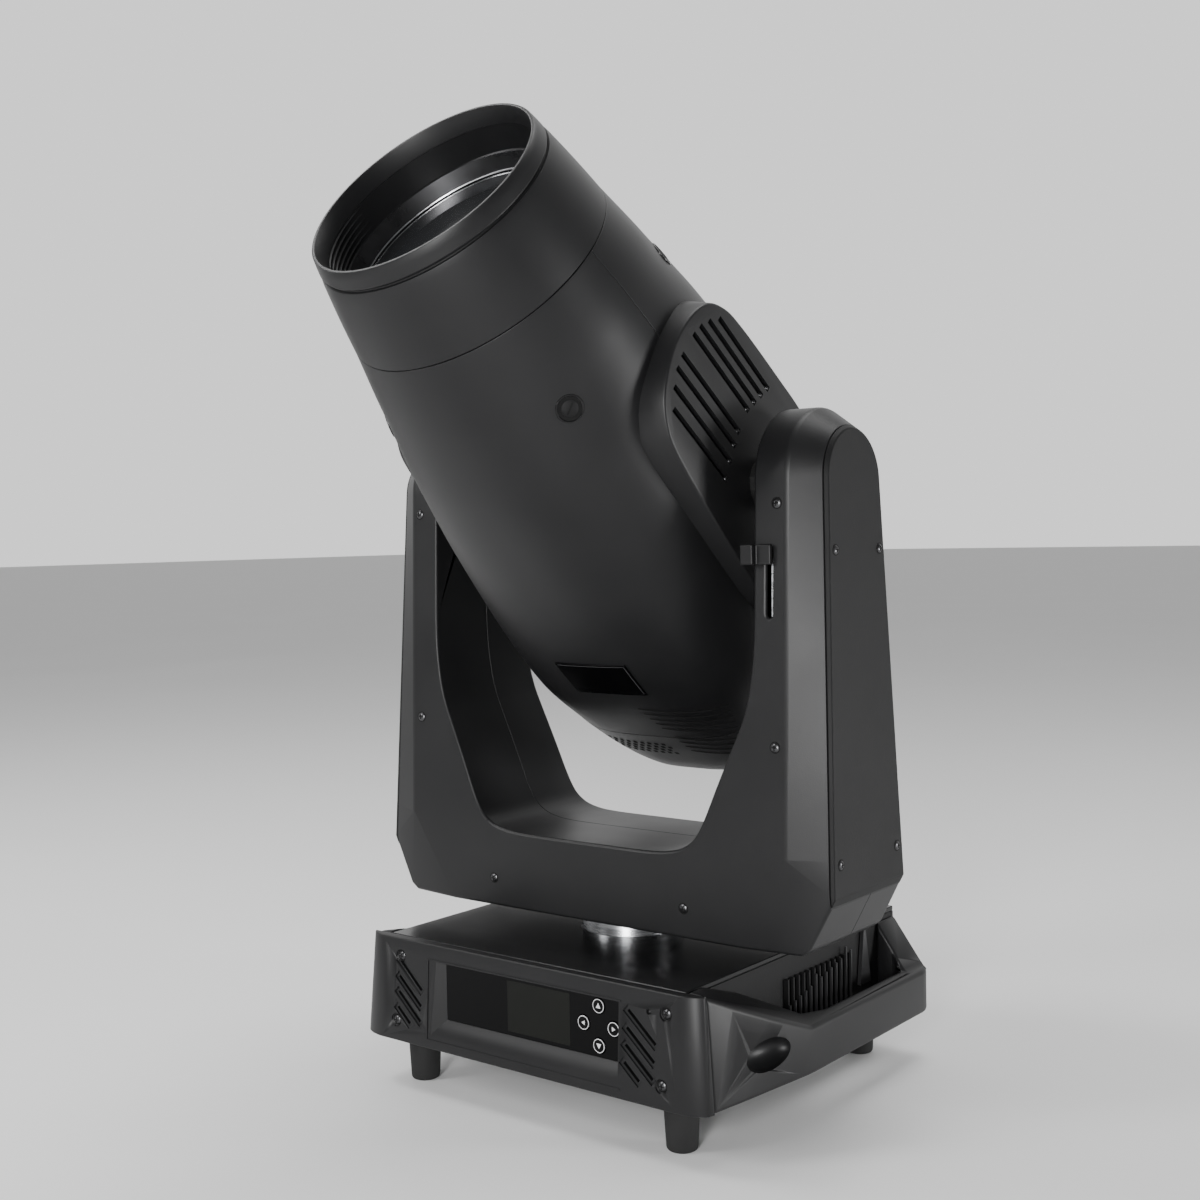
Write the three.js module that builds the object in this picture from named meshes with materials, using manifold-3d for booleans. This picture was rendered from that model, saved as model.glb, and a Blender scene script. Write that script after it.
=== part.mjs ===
// Moving head light: base with display and handles, panning yoke, tilting head with optics.
// Millimetres, +Z up. The origin is on the base's underside, on the pan axis; the display
// faces -Y. At rest the head leans towards -Y by HEAD_LEAN.
import * as THREE from "three";
import { ConvexGeometry } from "three/addons/geometries/ConvexGeometry.js";
import { mergeVertices } from "three/addons/utils/BufferGeometryUtils.js";
import Module from "manifold-3d";

const wasm = await Module();
wasm.setup();

// ---- driving dimensions ----
const GAP = 0.3; // air between neighbouring pieces
const WALL = 4; // moulded cover thickness

const BASE_H = 84;
const BASE_FRONT = -134; // joint between the front bezel and the base body
const BASE_REAR = 178;
const BODY_HALF = 150; // half width of the base body between the handles
const PANEL_TOP_Y = -143; // bezel face at its top edge
const PANEL_LOW_Y = -148; // bezel face at its bottom edge
const FOOT_H = 39;
const FOOT_X = 131.5;
const FOOT_YS = [-116, 148];
const FOOT_SEAT = 1; // depth of the round seats that the feet stand in

const HUB_R = 41.5;
const YOKE_LOW = 99;
const YOKE_SPLIT_Y = 6; // joint between the yoke's front and rear covers
const ARM_INNER = 163;
const ARM_SHOULDER = 191; // where the front face turns into the side chamfer
const ARM_OUTER = 217; // side plate, at the tilt axis
const ARM_LEAN = 9 / 305; // the side plates stand further out lower down
const SIDE_PLATE = 4;
const TILT_Z = 449; // height of the tilt axis
const HEAD_LEAN = 47.3; // degrees from upright, towards the display side

const SEAM_S = 236; // joint between the head covers and the nose tube, along the lens axis
const RING_S = 298.5;
const MOUTH_S = 313;
const CAP_S = -168; // joint between the head covers and the rear cap
const TAIL_S = -246;
const POD_FACE = 137;
const BORE_R = 88;

const AXLE_R = 20;
const TILT_PULLEY_R = 34;
const MOTOR_PULLEY_R = 8.5;
const PULLEY_W = 10;
const PAN_PULLEY_R = 38;
const PAN_PULLEY_Z = 113;
const MOTOR = 42; // square stepper frame
const TILT_MOTOR_Z = 225;
const PAN_MOTOR_X = -118;

// ---- solids ----
const AXES = {
  x: [0, 0, 1, 0, 1, 0, 0, 0, 0, 1, 0, 0, 0, 0, 0, 1], // outline (y, z), length along x
  y: [1, 0, 0, 0, 0, 0, -1, 0, 0, 1, 0, 0, 0, 0, 0, 1], // outline (x, z), length along -y
  z: [1, 0, 0, 0, 0, 1, 0, 0, 0, 0, 1, 0, 0, 0, 0, 1], // outline (x, y), length along z
};

function solid(geometry) {
  const bare = geometry.index ? geometry.toNonIndexed() : geometry.clone();
  bare.deleteAttribute("normal");
  bare.deleteAttribute("uv");
  const merged = mergeVertices(bare, 1e-4);
  return new wasm.Manifold(
    new wasm.Mesh({
      numProp: 3,
      vertProperties: new Float32Array(merged.attributes.position.array),
      triVerts: new Uint32Array(merged.index.array),
    }),
  );
}

function turned(geometry, axis) {
  return geometry.applyMatrix4(new THREE.Matrix4().set(...AXES[axis]));
}

function box(x0, x1, y0, y1, z0, z1) {
  const g = new THREE.BoxGeometry(x1 - x0, y1 - y0, z1 - z0);
  return solid(g.translate((x0 + x1) / 2, (y0 + y1) / 2, (z0 + z1) / 2));
}

function prism(points, from, to, axis) {
  const shape = new THREE.Shape(points.map(([u, v]) => new THREE.Vector2(u, v)));
  const g = new THREE.ExtrudeGeometry(shape, { depth: to - from, bevelEnabled: false });
  g.translate(0, 0, axis === "y" ? -to : from);
  return solid(turned(g, axis));
}

function circle(radius, u = 0, v = 0, count = 32) {
  return Array.from({ length: count }, (_, i) => {
    const a = (2 * Math.PI * i) / count;
    return [u + radius * Math.cos(a), v + radius * Math.sin(a)];
  });
}

function rod(radius, from, to, axis, u = 0, v = 0, count = 32) {
  return prism(circle(radius, u, v, count), from, to, axis);
}

function rectangle(u0, u1, v0, v1) {
  return [
    [u0, v0],
    [u1, v0],
    [u1, v1],
    [u0, v1],
  ];
}

// Profile of [radius, height] corners, turned about Z.
function turnedProfile(profile, count = 48) {
  const area = profile.reduce((sum, [r, h], i) => {
    const [q, k] = profile[(i + 1) % profile.length];
    return sum + r * k - q * h;
  }, 0);
  const ordered = area > 0 ? profile : [...profile].reverse();
  const closed = [...ordered, ordered[0]];
  const g = new THREE.LatheGeometry(
    closed.map(([r, h]) => new THREE.Vector2(r, h)),
    count,
  );
  return solid(g.rotateX(Math.PI / 2));
}

function hull(points) {
  return solid(new ConvexGeometry(points.map((p) => new THREE.Vector3(...p))));
}

function united(list) {
  return list.reduce((sum, item) => sum.add(item));
}

function carved(body, cuts) {
  return cuts.reduce((rest, cut) => rest.subtract(cut), body);
}

// Moves every edge of a counter-clockwise outline outwards by the distance.
function grown(points, distance) {
  const edge = (i) => {
    const [a, b] = [points[i], points[(i + 1) % points.length]];
    const length = Math.hypot(b[0] - a[0], b[1] - a[1]);
    return { a, d: [(b[0] - a[0]) / length, (b[1] - a[1]) / length] };
  };
  return points.map((p, i) => {
    const e = edge((i + points.length - 1) % points.length);
    const f = edge(i);
    const n = [e.d[1] + f.d[1], -e.d[0] - f.d[0]];
    const k = distance / (1 + e.d[0] * f.d[0] + e.d[1] * f.d[1]);
    return [p[0] + n[0] * k, p[1] + n[1] * k];
  });
}

// Skin through rounded-square sections: s along the axis, half sizes a and b, and the
// exponent n that takes a circle (2) to a square (large).
function loft(sections, grow = 0, count = 40) {
  const position = [];
  const index = [];
  for (const { s, a, b, n } of sections)
    for (let i = 0; i < count; i += 1) {
      const t = (2 * Math.PI * i) / count;
      const power = (value) => Math.sign(value) * Math.abs(value) ** (2 / n);
      position.push((a + grow) * power(Math.cos(t)), (b + grow) * power(Math.sin(t)), s);
    }
  const last = sections.length - 1;
  for (let k = 0; k < last; k += 1)
    for (let i = 0; i < count; i += 1) {
      const j = (i + 1) % count;
      const [p, q, r, t] = [k * count + i, k * count + j, (k + 1) * count + i, (k + 1) * count + j];
      index.push(p, q, t, p, t, r);
    }
  for (const [k, way] of [
    [0, -1],
    [last, 1],
  ]) {
    const centre = position.length / 3;
    position.push(0, 0, sections[k].s);
    for (let i = 0; i < count; i += 1) {
      const ends = [k * count + i, k * count + ((i + 1) % count)];
      index.push(centre, ...(way > 0 ? ends : ends.reverse()));
    }
  }
  const g = new THREE.BufferGeometry();
  g.setAttribute("position", new THREE.Float32BufferAttribute(position, 3));
  g.setIndex(index);
  return solid(g);
}

// ---- finishes ----
const finish = (color, roughness, metalness) =>
  new THREE.MeshStandardMaterial({ color, roughness, metalness });
const MATERIAL = {
  cover: finish(0x18181a, 0.55, 0),
  metalBlack: finish(0x1c1c1e, 0.5, 0.2),
  rubber: finish(0x141414, 0.85, 0),
  aluminium: finish(0xb9bcc0, 0.35, 0.9),
  steel: finish(0x8a8d91, 0.35, 0.9),
  glass: finish(0x20242a, 0.08, 0),
  gloss: finish(0x0a0a0c, 0.1, 0),
  board: finish(0x15402a, 0.6, 0),
};

const light = new THREE.Group();
const head = new THREE.Group();
head.position.set(0, 0, TILT_Z);
head.rotation.x = THREE.MathUtils.degToRad(HEAD_LEAN);
light.add(head);

function put(name, manifold, material, group = light) {
  const data = manifold.getMesh();
  const g = new THREE.BufferGeometry();
  g.setAttribute("position", new THREE.Float32BufferAttribute(data.vertProperties, 3));
  g.setIndex(Array.from(data.triVerts));
  const mesh = new THREE.Mesh(g, material);
  mesh.name = name;
  group.add(mesh);
}

const mirrored = (manifold) => manifold.mirror([1, 0, 0]);

// ---- base: chassis, covers and panels ----
function baseChassis() {
  const front = BASE_FRONT + GAP;
  const rear = BASE_REAR - WALL - GAP;
  const tray = box(-BODY_HALF + GAP, BODY_HALF - GAP, front, rear, 0, BASE_H - WALL - GAP);
  const inside = box(-BODY_HALF + 3, BODY_HALF - 3, front + 3, rear + 1, 3, BASE_H);
  const fins = [];
  for (const side of [-1, 1])
    for (let i = 0; i < 13; i += 1) {
      const y = -2 + 8 * i;
      const x = [side * (BODY_HALF - 1), side * (BODY_HALF + 3.5)].sort((a, b) => a - b);
      fins.push(box(...x, y, y + 2, 12, 62));
    }
  const connectorDoor = box(-90, 90, rear - 1, rear + 5, 10, 70);
  const seats = FOOT_YS.flatMap((y) =>
    [-FOOT_X, FOOT_X].map((x) => rod(15.5, -1, FOOT_SEAT, "z", x, y, 24)),
  );
  return carved(united([tray, ...fins]), [inside, connectorDoor, ...seats]);
}

function baseTopCover() {
  const plate = box(
    -BODY_HALF + GAP,
    BODY_HALF - GAP,
    BASE_FRONT + GAP,
    BASE_REAR,
    BASE_H - WALL,
    BASE_H,
  );
  return plate.subtract(rod(HUB_R + GAP, 0, BASE_H + 5, "z", 0, 0, 48));
}

const CORNER = [
  [0, 0],
  [6, 0.75],
  [12, 2.5],
  [17, 5.1],
  [20.5, 8.4],
]; // bezel corner: distance out from the flat face, setback from it
const WINDOW = { x0: -97, x1: 97, z0: 8, z1: 71 };
const GLASS = { x0: -82, x1: 96, z0: 24, z1: 70, y: -136 };

function bezelSlots() {
  const slots = [];
  const [run, drop, width] = [25, 21, 3.4];
  const starts = [
    [105.5, 67, 1],
    [104.5, 54, 1],
    [103.5, 41.5, 1],
    [102.5, 28.5, 0.55],
  ];
  for (const side of [-1, 1])
    for (const [x, z, part] of starts) {
      const mid = side < 0 ? [-118 - run / 2 + (x - 104) / 2, z] : [x, z];
      const end = [mid[0] + run * part, mid[1] - drop * part];
      const wide = (width * run) / Math.hypot(run, drop);
      const outline = [mid, [mid[0], mid[1] - wide], [end[0], end[1] - wide], end];
      slots.push(prism(outline, PANEL_LOW_Y - 4, BASE_FRONT, "y"));
    }
  return slots;
}

function frontBezel() {
  const rim = [];
  for (const [y, z, wide] of [
    [PANEL_LOW_Y, 0, 1.1],
    [PANEL_TOP_Y, BASE_H, 0.86],
  ])
    for (const side of [-1, 1]) {
      for (const [x, back] of CORNER)
        rim.push([side * (150 + x * wide), y + back, z]);
      rim.push([side * (150 + 21.5 * wide), BASE_FRONT, z]);
    }
  const pocket = box(-146, 146, -139.5, BASE_FRONT + 1, WALL, BASE_H - WALL);
  const recess = hull([
    [WINDOW.x0, PANEL_LOW_Y - 2, WINDOW.z0],
    [WINDOW.x1, PANEL_LOW_Y - 2, WINDOW.z0],
    [WINDOW.x0, PANEL_LOW_Y - 2, WINDOW.z1],
    [WINDOW.x1, PANEL_LOW_Y - 2, WINDOW.z1],
    [GLASS.x0, GLASS.y - 3, GLASS.z0],
    [GLASS.x1, GLASS.y - 3, GLASS.z0],
    [GLASS.x0, GLASS.y - 3, GLASS.z1],
    [GLASS.x1, GLASS.y - 3, GLASS.z1],
  ]);
  const lining = box(-101, 101, GLASS.y - 8, BASE_FRONT - 1, 5, 75);
  const seat = box(
    GLASS.x0 - GAP,
    GLASS.x1 + GAP,
    GLASS.y - 3.2,
    BASE_FRONT + 1,
    GLASS.z0 - GAP,
    GLASS.z1 + GAP,
  );
  const shell = hull(rim).subtract(pocket);
  return carved(shell.add(lining), [recess, seat, ...bezelSlots()]);
}

const KEY_R = 5.8;
const KEYS = { up: [74, 62.5], down: [74, 32.5], left: [59.5, 47.5], right: [88, 47.5] };

function displayWindow() {
  const plate = box(GLASS.x0, GLASS.x1, GLASS.y - 3, GLASS.y, GLASS.z0, GLASS.z1);
  const holes = Object.values(KEYS).map(([x, z]) =>
    rod(KEY_R + 2 * GAP, GLASS.y - 5, GLASS.y + 2, "y", x, z, 16),
  );
  return carved(plate, holes);
}

function handle() {
  const outline = [
    [BODY_HALF + GAP, BASE_FRONT + GAP],
    [172.5, BASE_FRONT + GAP],
    [180, -74],
    [185.5, -34],
    [187, -18],
    [187, 160],
    [184.5, 171],
    [178, 177.5],
    [BODY_HALF + GAP, BASE_REAR],
  ];
  const well = [
    [BODY_HALF - 1, -76],
    [165, -6],
    [171.5, 8],
    [174, 20],
    [174, 136],
    [171.5, 143],
    [BODY_HALF - 1, 146],
  ];
  const drawnIn = ([x, y]) => {
    const back = Math.min(1, Math.max(0, (-10 - y) / 124));
    return [x > 151 ? x - 6 * back : x, y, BASE_H];
  };
  const block = hull([...outline.map(([x, y]) => [x, y, 0]), ...outline.map(drawnIn)]);
  const under = (corners) => hull(corners.flatMap(([x, y, z]) => [[x, y, -1], [x, y, z]]));
  const frontSlope = (x, y) => 120.4 - 0.492 * x - 0.329 * y;
  const rearSlope = (x) => 78.6 - 1.36 * (x - 149);
  const rimHeight = (x) => 39 - 0.25 * (x - 174);
  const front = under(
    [
      [145, -140],
      [190, -140],
      [190, -6],
      [145, -6],
    ].map(([x, y]) => [x, y, frontSlope(x, y)]),
  );
  const rear = under(
    [
      [145, 143],
      [183, 143],
      [183, 185],
      [145, 185],
    ].map(([x, y]) => [x, y, rearSlope(x)]),
  );
  const rim = under(
    [
      [145, -140],
      [190, -140],
      [190, 185],
      [145, 185],
    ].map(([x, y]) => [x, y, rimHeight(x)]),
  );
  const shaped = block.intersect(united([front, rear, rim]));
  const dimple = new THREE.SphereGeometry(1, 20, 12).scale(15, 25, 12);
  dimple.rotateZ(-0.13).translate(180.5, -73, 28);
  return carved(shaped, [prism(well, -1, BASE_H + 5, "z"), solid(dimple)]);
}

function rearPanel() {
  const plate = box(-BODY_HALF + GAP, BODY_HALF - GAP, BASE_REAR - WALL, BASE_REAR, 0, BASE_H - WALL - GAP);
  const inlet = prism(rectangle(-78 - GAP, -50 + GAP, 24 - GAP, 50 + GAP), 160, 190, "y");
  return carved(plate, [inlet, rod(12 + 2 * GAP, 160, 190, "y", 30, 40, 20)]);
}

put("base_chassis", baseChassis(), MATERIAL.metalBlack);
put("base_top_cover", baseTopCover(), MATERIAL.cover);
put("front_bezel", frontBezel(), MATERIAL.cover);
put("display_window", displayWindow(), MATERIAL.gloss);
for (const [name, [x, z]] of Object.entries(KEYS))
  put("key_" + name, rod(KEY_R, GLASS.y - 3.8, GLASS.y - 1, "y", x, z, 16), MATERIAL.gloss);
put("handle_right", handle(), MATERIAL.cover);
put("handle_left", mirrored(handle()), MATERIAL.cover);
put("rear_panel", rearPanel(), MATERIAL.metalBlack);

function powerInlet() {
  const body = box(-78, -50, BASE_REAR - 22, BASE_REAR + 2, 24, 50);
  const mouth = rod(9.5, BASE_REAR - 12, BASE_REAR + 4, "y", -64, 37, 24);
  return body.subtract(mouth);
}

function dataSocket(x) {
  const barrel = rod(12, BASE_REAR - 20, BASE_REAR + 2, "y", x, 40, 20);
  return barrel.subtract(rod(9, BASE_REAR - 12, BASE_REAR + 4, "y", x, 40, 16));
}

put("power_inlet", powerInlet(), MATERIAL.cover);
put("data_socket", dataSocket(30), MATERIAL.steel);

const footProfile = [
  [0, -FOOT_H],
  [10.6, -FOOT_H],
  [11.8, -FOOT_H + 1.4],
  [13.8, FOOT_SEAT - GAP],
  [0, FOOT_SEAT - GAP],
];
FOOT_YS.forEach((y, row) => {
  [-FOOT_X, FOOT_X].forEach((x, column) => {
    const end = row === 0 ? "front" : "rear";
    const side = column === 0 ? "left" : "right";
    const foot = turnedProfile(footProfile, 20).translate([x, y, 0]);
    put("foot_" + end + "_" + side, foot, MATERIAL.rubber);
  });
});

put("power_supply", box(-120, 120, 66, 150, 5, 60), MATERIAL.metalBlack);
put("control_board", box(-90, 100, -126, -124, 10, 74), MATERIAL.board);

// ---- pan bearing ----
const hubProfile = [
  [22, 50],
  [60, 50],
  [60, 56],
  [HUB_R, 62],
  [HUB_R, YOKE_LOW - 1],
  [28, YOKE_LOW - 1],
  [28, PAN_PULLEY_Z - GAP],
  [22, PAN_PULLEY_Z - GAP],
];
put("pan_bearing_housing", turnedProfile(hubProfile, 36), MATERIAL.aluminium);

function pulley(radius, bore, from, to, axis, u, v) {
  return rod(radius, from, to, axis, u, v, 28).subtract(rod(bore, from - 1, to + 1, axis, u, v, 20));
}
put(
  "pan_fixed_pulley",
  pulley(PAN_PULLEY_R, 20, PAN_PULLEY_Z, PAN_PULLEY_Z + PULLEY_W, "z", 0, 0),
  MATERIAL.aluminium,
);

// ---- yoke: two moulded half covers, two side plates, and a folded frame inside ----
const ARC_STEPS = 12;
const FACE_R = 55; // rounding of the arm tops at the shoulder
const PLATE_R = 38; // rounding of the side plates
const FACE_LOW_Y = 64;
const PLATE_LOW_Y = 53;
const SHOULDER_LOW = 172;
const PLATE_LOW = 144;
const plateX = (z) => ARM_OUTER - (z - TILT_Z) * ARM_LEAN;

function armTop(xAt, radius) {
  return Array.from({ length: ARC_STEPS + 1 }, (_, i) => {
    const a = (Math.PI * i) / ARC_STEPS;
    const z = TILT_Z + radius * Math.sin(a);
    return [xAt(z), -radius * Math.cos(a), z];
  });
}

// The yoke's outer form without its throat, drawn in by the inset on every side. Between the
// shoulder line and the side plate the faces twist, so this stretch is made of thin slabs.
const YOKE_SLABS = 6;

function yokeForm(inset) {
  const t = inset;
  const plateInset = t > 0 ? t - 1.5 : 0;
  const low = YOKE_LOW + t;
  const shoulder = ARM_SHOULDER - t / 2;
  const faceSpread = (FACE_LOW_Y - FACE_R) / (TILT_Z - SHOULDER_LOW);
  const plateSpread = (PLATE_LOW_Y - PLATE_R) / (TILT_Z - PLATE_LOW);
  const level = (z) => [
    [shoulder, FACE_R + faceSpread * (TILT_Z - z) - t, z],
    [plateX(z) - plateInset, PLATE_R + plateSpread * (TILT_Z - z) - t / 2, z],
  ];
  const allRound = (points) => {
    const right = points.flatMap(([x, y, z]) => [[x, y, z], [x, -y, z]]);
    return hull([...right, ...right.map(([x, y, z]) => [-x, y, z])]);
  };
  const slabHeight = (TILT_Z - SHOULDER_LOW) / YOKE_SLABS;
  const slabs = Array.from({ length: YOKE_SLABS }, (_, i) => {
    const z = SHOULDER_LOW + i * slabHeight;
    return allRound([...level(z), ...level(z + slabHeight)]);
  });
  const top = allRound([
    ...armTop(() => shoulder, FACE_R - t),
    ...armTop((z) => plateX(z) - plateInset, PLATE_R - t / 2),
  ]);
  const bottom = allRound([
    ...level(SHOULDER_LOW),
    [plateX(PLATE_LOW) - plateInset, PLATE_LOW_Y - t / 2, PLATE_LOW],
    [146, FACE_LOW_Y - t, 140],
    [146, 61 - t, low],
    [198 - t, 55 - t, low],
    [205 - t, 55 - t, low + 5],
  ]);
  return united([top, bottom, ...slabs]);
}

const THROAT = [
  [-ARM_INNER, 600],
  [-ARM_INNER, 292],
  [-132.5, 226],
  [-117, 190],
  [-108, 176],
  [-95, 168],
  [-72, 164],
  [72, 164],
  [95, 168],
  [108, 176],
  [117, 190],
  [132.5, 226],
  [ARM_INNER, 292],
  [ARM_INNER, 600],
]; // opening between the arms, seen along Y

const LOCK_SLOT = { x: 176.5, z0: 349, z1: 399, half: 2.2 };

function yokeShell() {
  const outer = yokeForm(0).subtract(prism(THROAT, -200, 200, "y"));
  const inner = yokeForm(WALL).subtract(prism(grown(THROAT, WALL), -200, 200, "y"));
  const slot = rectangle(
    LOCK_SLOT.x - LOCK_SLOT.half,
    LOCK_SLOT.x + LOCK_SLOT.half,
    LOCK_SLOT.z0,
    LOCK_SLOT.z1,
  );
  return carved(outer, [
    inner,
    rod(HUB_R + 2, YOKE_LOW - 5, YOKE_LOW + 5, "z", 0, 0, 48),
    rod(AXLE_R + 3, -ARM_INNER - 8, ARM_INNER + 8, "x", 0, TILT_Z, 32),
    prism(slot, -80, -FACE_R + WALL + 2, "y"),
  ]);
}

// Everything nearer the middle than the side plates' depth below their outer faces.
function betweenPlates(depth, y0, y1) {
  const [low, high] = [50, 600];
  const outline = [
    [-plateX(low) + depth, low],
    [plateX(low) - depth, low],
    [plateX(high) - depth, high],
    [-plateX(high) + depth, high],
  ];
  return prism(outline, y0, y1, "y");
}

const shell = yokeShell();
const frontHalf = betweenPlates(SIDE_PLATE, -100, YOKE_SPLIT_Y - GAP / 2);
const rearHalf = betweenPlates(SIDE_PLATE, YOKE_SPLIT_Y + GAP / 2, 100);
put("yoke_front_cover", shell.intersect(frontHalf), MATERIAL.cover);
put("yoke_rear_cover", shell.intersect(rearHalf), MATERIAL.cover);
const plates = yokeForm(0).subtract(betweenPlates(SIDE_PLATE - GAP, -100, 100));
put("arm_cover_left", plates.intersect(box(-300, 0, -100, 100, 0, 600)), MATERIAL.cover);
put("arm_cover_right", plates.intersect(box(0, 300, -100, 100, 0, 600)), MATERIAL.cover);

const FRAME_X = 178; // outer face of the frame's arm plates
const FRAME_T = 5;
const FRAME_LOW = 104.2;
const FRAME_HALF = 37;

function yokeFrame() {
  const outer = [
    [-FRAME_X, TILT_Z + 32],
    [-FRAME_X, 190],
    [-150, FRAME_LOW],
    [150, FRAME_LOW],
    [FRAME_X, 190],
    [FRAME_X, TILT_Z + 32],
  ];
  const inner = [
    [-FRAME_X + FRAME_T, TILT_Z + 50],
    [-FRAME_X + FRAME_T, 191],
    [-146.5, FRAME_LOW + FRAME_T],
    [146.5, FRAME_LOW + FRAME_T],
    [FRAME_X - FRAME_T, 191],
    [FRAME_X - FRAME_T, TILT_Z + 50],
  ];
  const strap = carved(prism(outer, -FRAME_HALF, FRAME_HALF, "y"), [
    prism(inner, -FRAME_HALF - 1, FRAME_HALF + 1, "y"),
  ]);
  const half = MOTOR / 2 + 3;
  const shelfZ = PAN_PULLEY_Z + PULLEY_W + 3;
  const shelf = united([
    box(PAN_MOTOR_X - half, PAN_MOTOR_X + half, -FRAME_HALF, FRAME_HALF, shelfZ, shelfZ + 3),
    box(PAN_MOTOR_X - half, PAN_MOTOR_X + half, -FRAME_HALF, -FRAME_HALF + 3, 108, shelfZ + 1),
    box(PAN_MOTOR_X - half, PAN_MOTOR_X + half, FRAME_HALF - 3, FRAME_HALF, 108, shelfZ + 1),
  ]);
  return carved(strap.add(shelf), [
    rod(28 + 2 * GAP, 90, 112, "z", 0, 0, 28),
    rod(27 + 2 * GAP, -200, 200, "x", 0, TILT_Z, 28),
    rod(14, 120, 200, "x", 0, TILT_MOTOR_Z, 24),
    rod(12, 112, 140, "z", PAN_MOTOR_X, 0, 24),
    rectangleCutForLock(),
  ]);
}

function rectangleCutForLock() {
  return box(165, 190, -FRAME_HALF - 2, -FRAME_HALF + 12, LOCK_SLOT.z0 - 6, LOCK_SLOT.z1 + 6);
}
put("yoke_frame", yokeFrame(), MATERIAL.metalBlack);

function beltLoop(big, small, from, to, axis, width) {
  const ring = (extra) =>
    [circle(big.r + extra, big.u, big.v, 28), circle(small.r + extra, small.u, small.v, 14)].flat();
  const place = (u, v, d) => (axis === "x" ? [d, u, v] : [u, v, d]);
  const loop = (extra, a, b) =>
    hull(ring(extra).flatMap(([u, v]) => [place(u, v, a), place(u, v, b)]));
  return loop(width, from, to).subtract(loop(GAP, from - 1, to + 1));
}

// pan drive: the motor rides in the yoke and walks its belt round the fixed pulley
const half = MOTOR / 2;
const panShelf = PAN_PULLEY_Z + PULLEY_W + 6;
put(
  "pan_motor",
  box(
    PAN_MOTOR_X - half,
    PAN_MOTOR_X + half,
    -half,
    half,
    panShelf + GAP,
    panShelf + 27,
  ),
  MATERIAL.metalBlack,
);
const shaftAndPulley = (axis, u, v, from, to, shaftEnd) =>
  rod(MOTOR_PULLEY_R, from, to, axis, u, v, 24).add(
    rod(2.5, Math.min(to - 1, shaftEnd), Math.max(from + 1, shaftEnd), axis, u, v, 12),
  );
put(
  "pan_motor_pulley",
  shaftAndPulley("z", PAN_MOTOR_X, 0, PAN_PULLEY_Z, PAN_PULLEY_Z + PULLEY_W, panShelf),
  MATERIAL.steel,
);
put(
  "pan_belt",
  beltLoop(
    { r: PAN_PULLEY_R, u: 0, v: 0 },
    { r: MOTOR_PULLEY_R, u: PAN_MOTOR_X, v: 0 },
    PAN_PULLEY_Z + 1,
    PAN_PULLEY_Z + PULLEY_W - 1,
    "z",
    2,
  ),
  MATERIAL.rubber,
);

// tilt drive in the right arm
const PULLEY_X = 186;
put(
  "tilt_motor",
  box(
    FRAME_X - FRAME_T - 26,
    FRAME_X - FRAME_T - GAP,
    -half,
    half,
    TILT_MOTOR_Z - half,
    TILT_MOTOR_Z + half,
  ),
  MATERIAL.metalBlack,
);
put(
  "tilt_motor_pulley",
  shaftAndPulley("x", 0, TILT_MOTOR_Z, PULLEY_X, PULLEY_X + PULLEY_W, FRAME_X - FRAME_T + 0.1),
  MATERIAL.steel,
);
put(
  "tilt_belt",
  beltLoop(
    { r: TILT_PULLEY_R, u: 0, v: TILT_Z },
    { r: MOTOR_PULLEY_R, u: 0, v: TILT_MOTOR_Z },
    PULLEY_X + 1,
    PULLEY_X + PULLEY_W - 1,
    "x",
    2,
  ),
  MATERIAL.rubber,
);
for (const [name, side] of [
  ["left", -1],
  ["right", 1],
]) {
  const [a, b] = [side * (FRAME_X - FRAME_T), side * FRAME_X].sort((p, q) => p - q);
  put("tilt_bearing_" + name, pulley(27, AXLE_R + GAP, a, b, "x", 0, TILT_Z), MATERIAL.steel);
}

// tilt lock: a tab on the front of the right arm, sliding in its slot
function tiltLock() {
  const z0 = LOCK_SLOT.z1 - 12;
  const face = -FACE_R - 2.6;
  const tab = box(157, 180.5, face - 4, face - 0.4, z0, z0 + 15);
  const grip = box(157, 168, face - 9, face - 3, z0, z0 + 15);
  const pin = box(LOCK_SLOT.x - 1.4, LOCK_SLOT.x + 1.4, face - 1, -44, z0 + 4, z0 + 9);
  return united([tab, grip, pin]);
}
put("tilt_lock_slider", tiltLock(), MATERIAL.cover);

// ---- head, in its own frame: x across, y up its back, z along the lens axis ----
const SECTIONS = [
  { s: CAP_S, a: 115, b: 131, n: 3.6 },
  { s: -110, a: 124, b: 139, n: 3.5 },
  { s: -60, a: 125, b: 141, n: 3.2 },
  { s: 40, a: 126, b: 136, n: 2.7 },
  { s: 113, a: 125, b: 130, n: 2.3 },
  { s: 185, a: 118, b: 119, n: 2.05 },
  { s: SEAM_S, a: 108.7, b: 108.7, n: 2 },
];
const TAIL_SECTIONS = [
  { s: TAIL_S, a: 70, b: 106, n: 3.4 },
  { s: -236, a: 84, b: 116, n: 3.5 },
  { s: -200, a: 106, b: 125, n: 3.6 },
  { s: CAP_S - GAP, a: 115, b: 131, n: 3.6 },
];

function headShell() {
  const inner = SECTIONS.map((section, i) => {
    const past = i === 0 ? -1 : i === SECTIONS.length - 1 ? 1 : 0;
    return { ...section, s: section.s + past };
  });
  return carved(loft(SECTIONS), [
    loft(inner, -WALL),
    rod(AXLE_R + 3, -150, 150, "x", 0, 0, 32),
  ]);
}

const headSkin = headShell();
const halfSpace = (y0, y1) => box(-200, 200, y0, y1, -300, 400);
put("head_front_cover", headSkin.intersect(halfSpace(-200, -GAP / 2)), MATERIAL.cover, head);
put("head_rear_cover", headSkin.intersect(halfSpace(GAP / 2, 200)), MATERIAL.cover, head);

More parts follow.
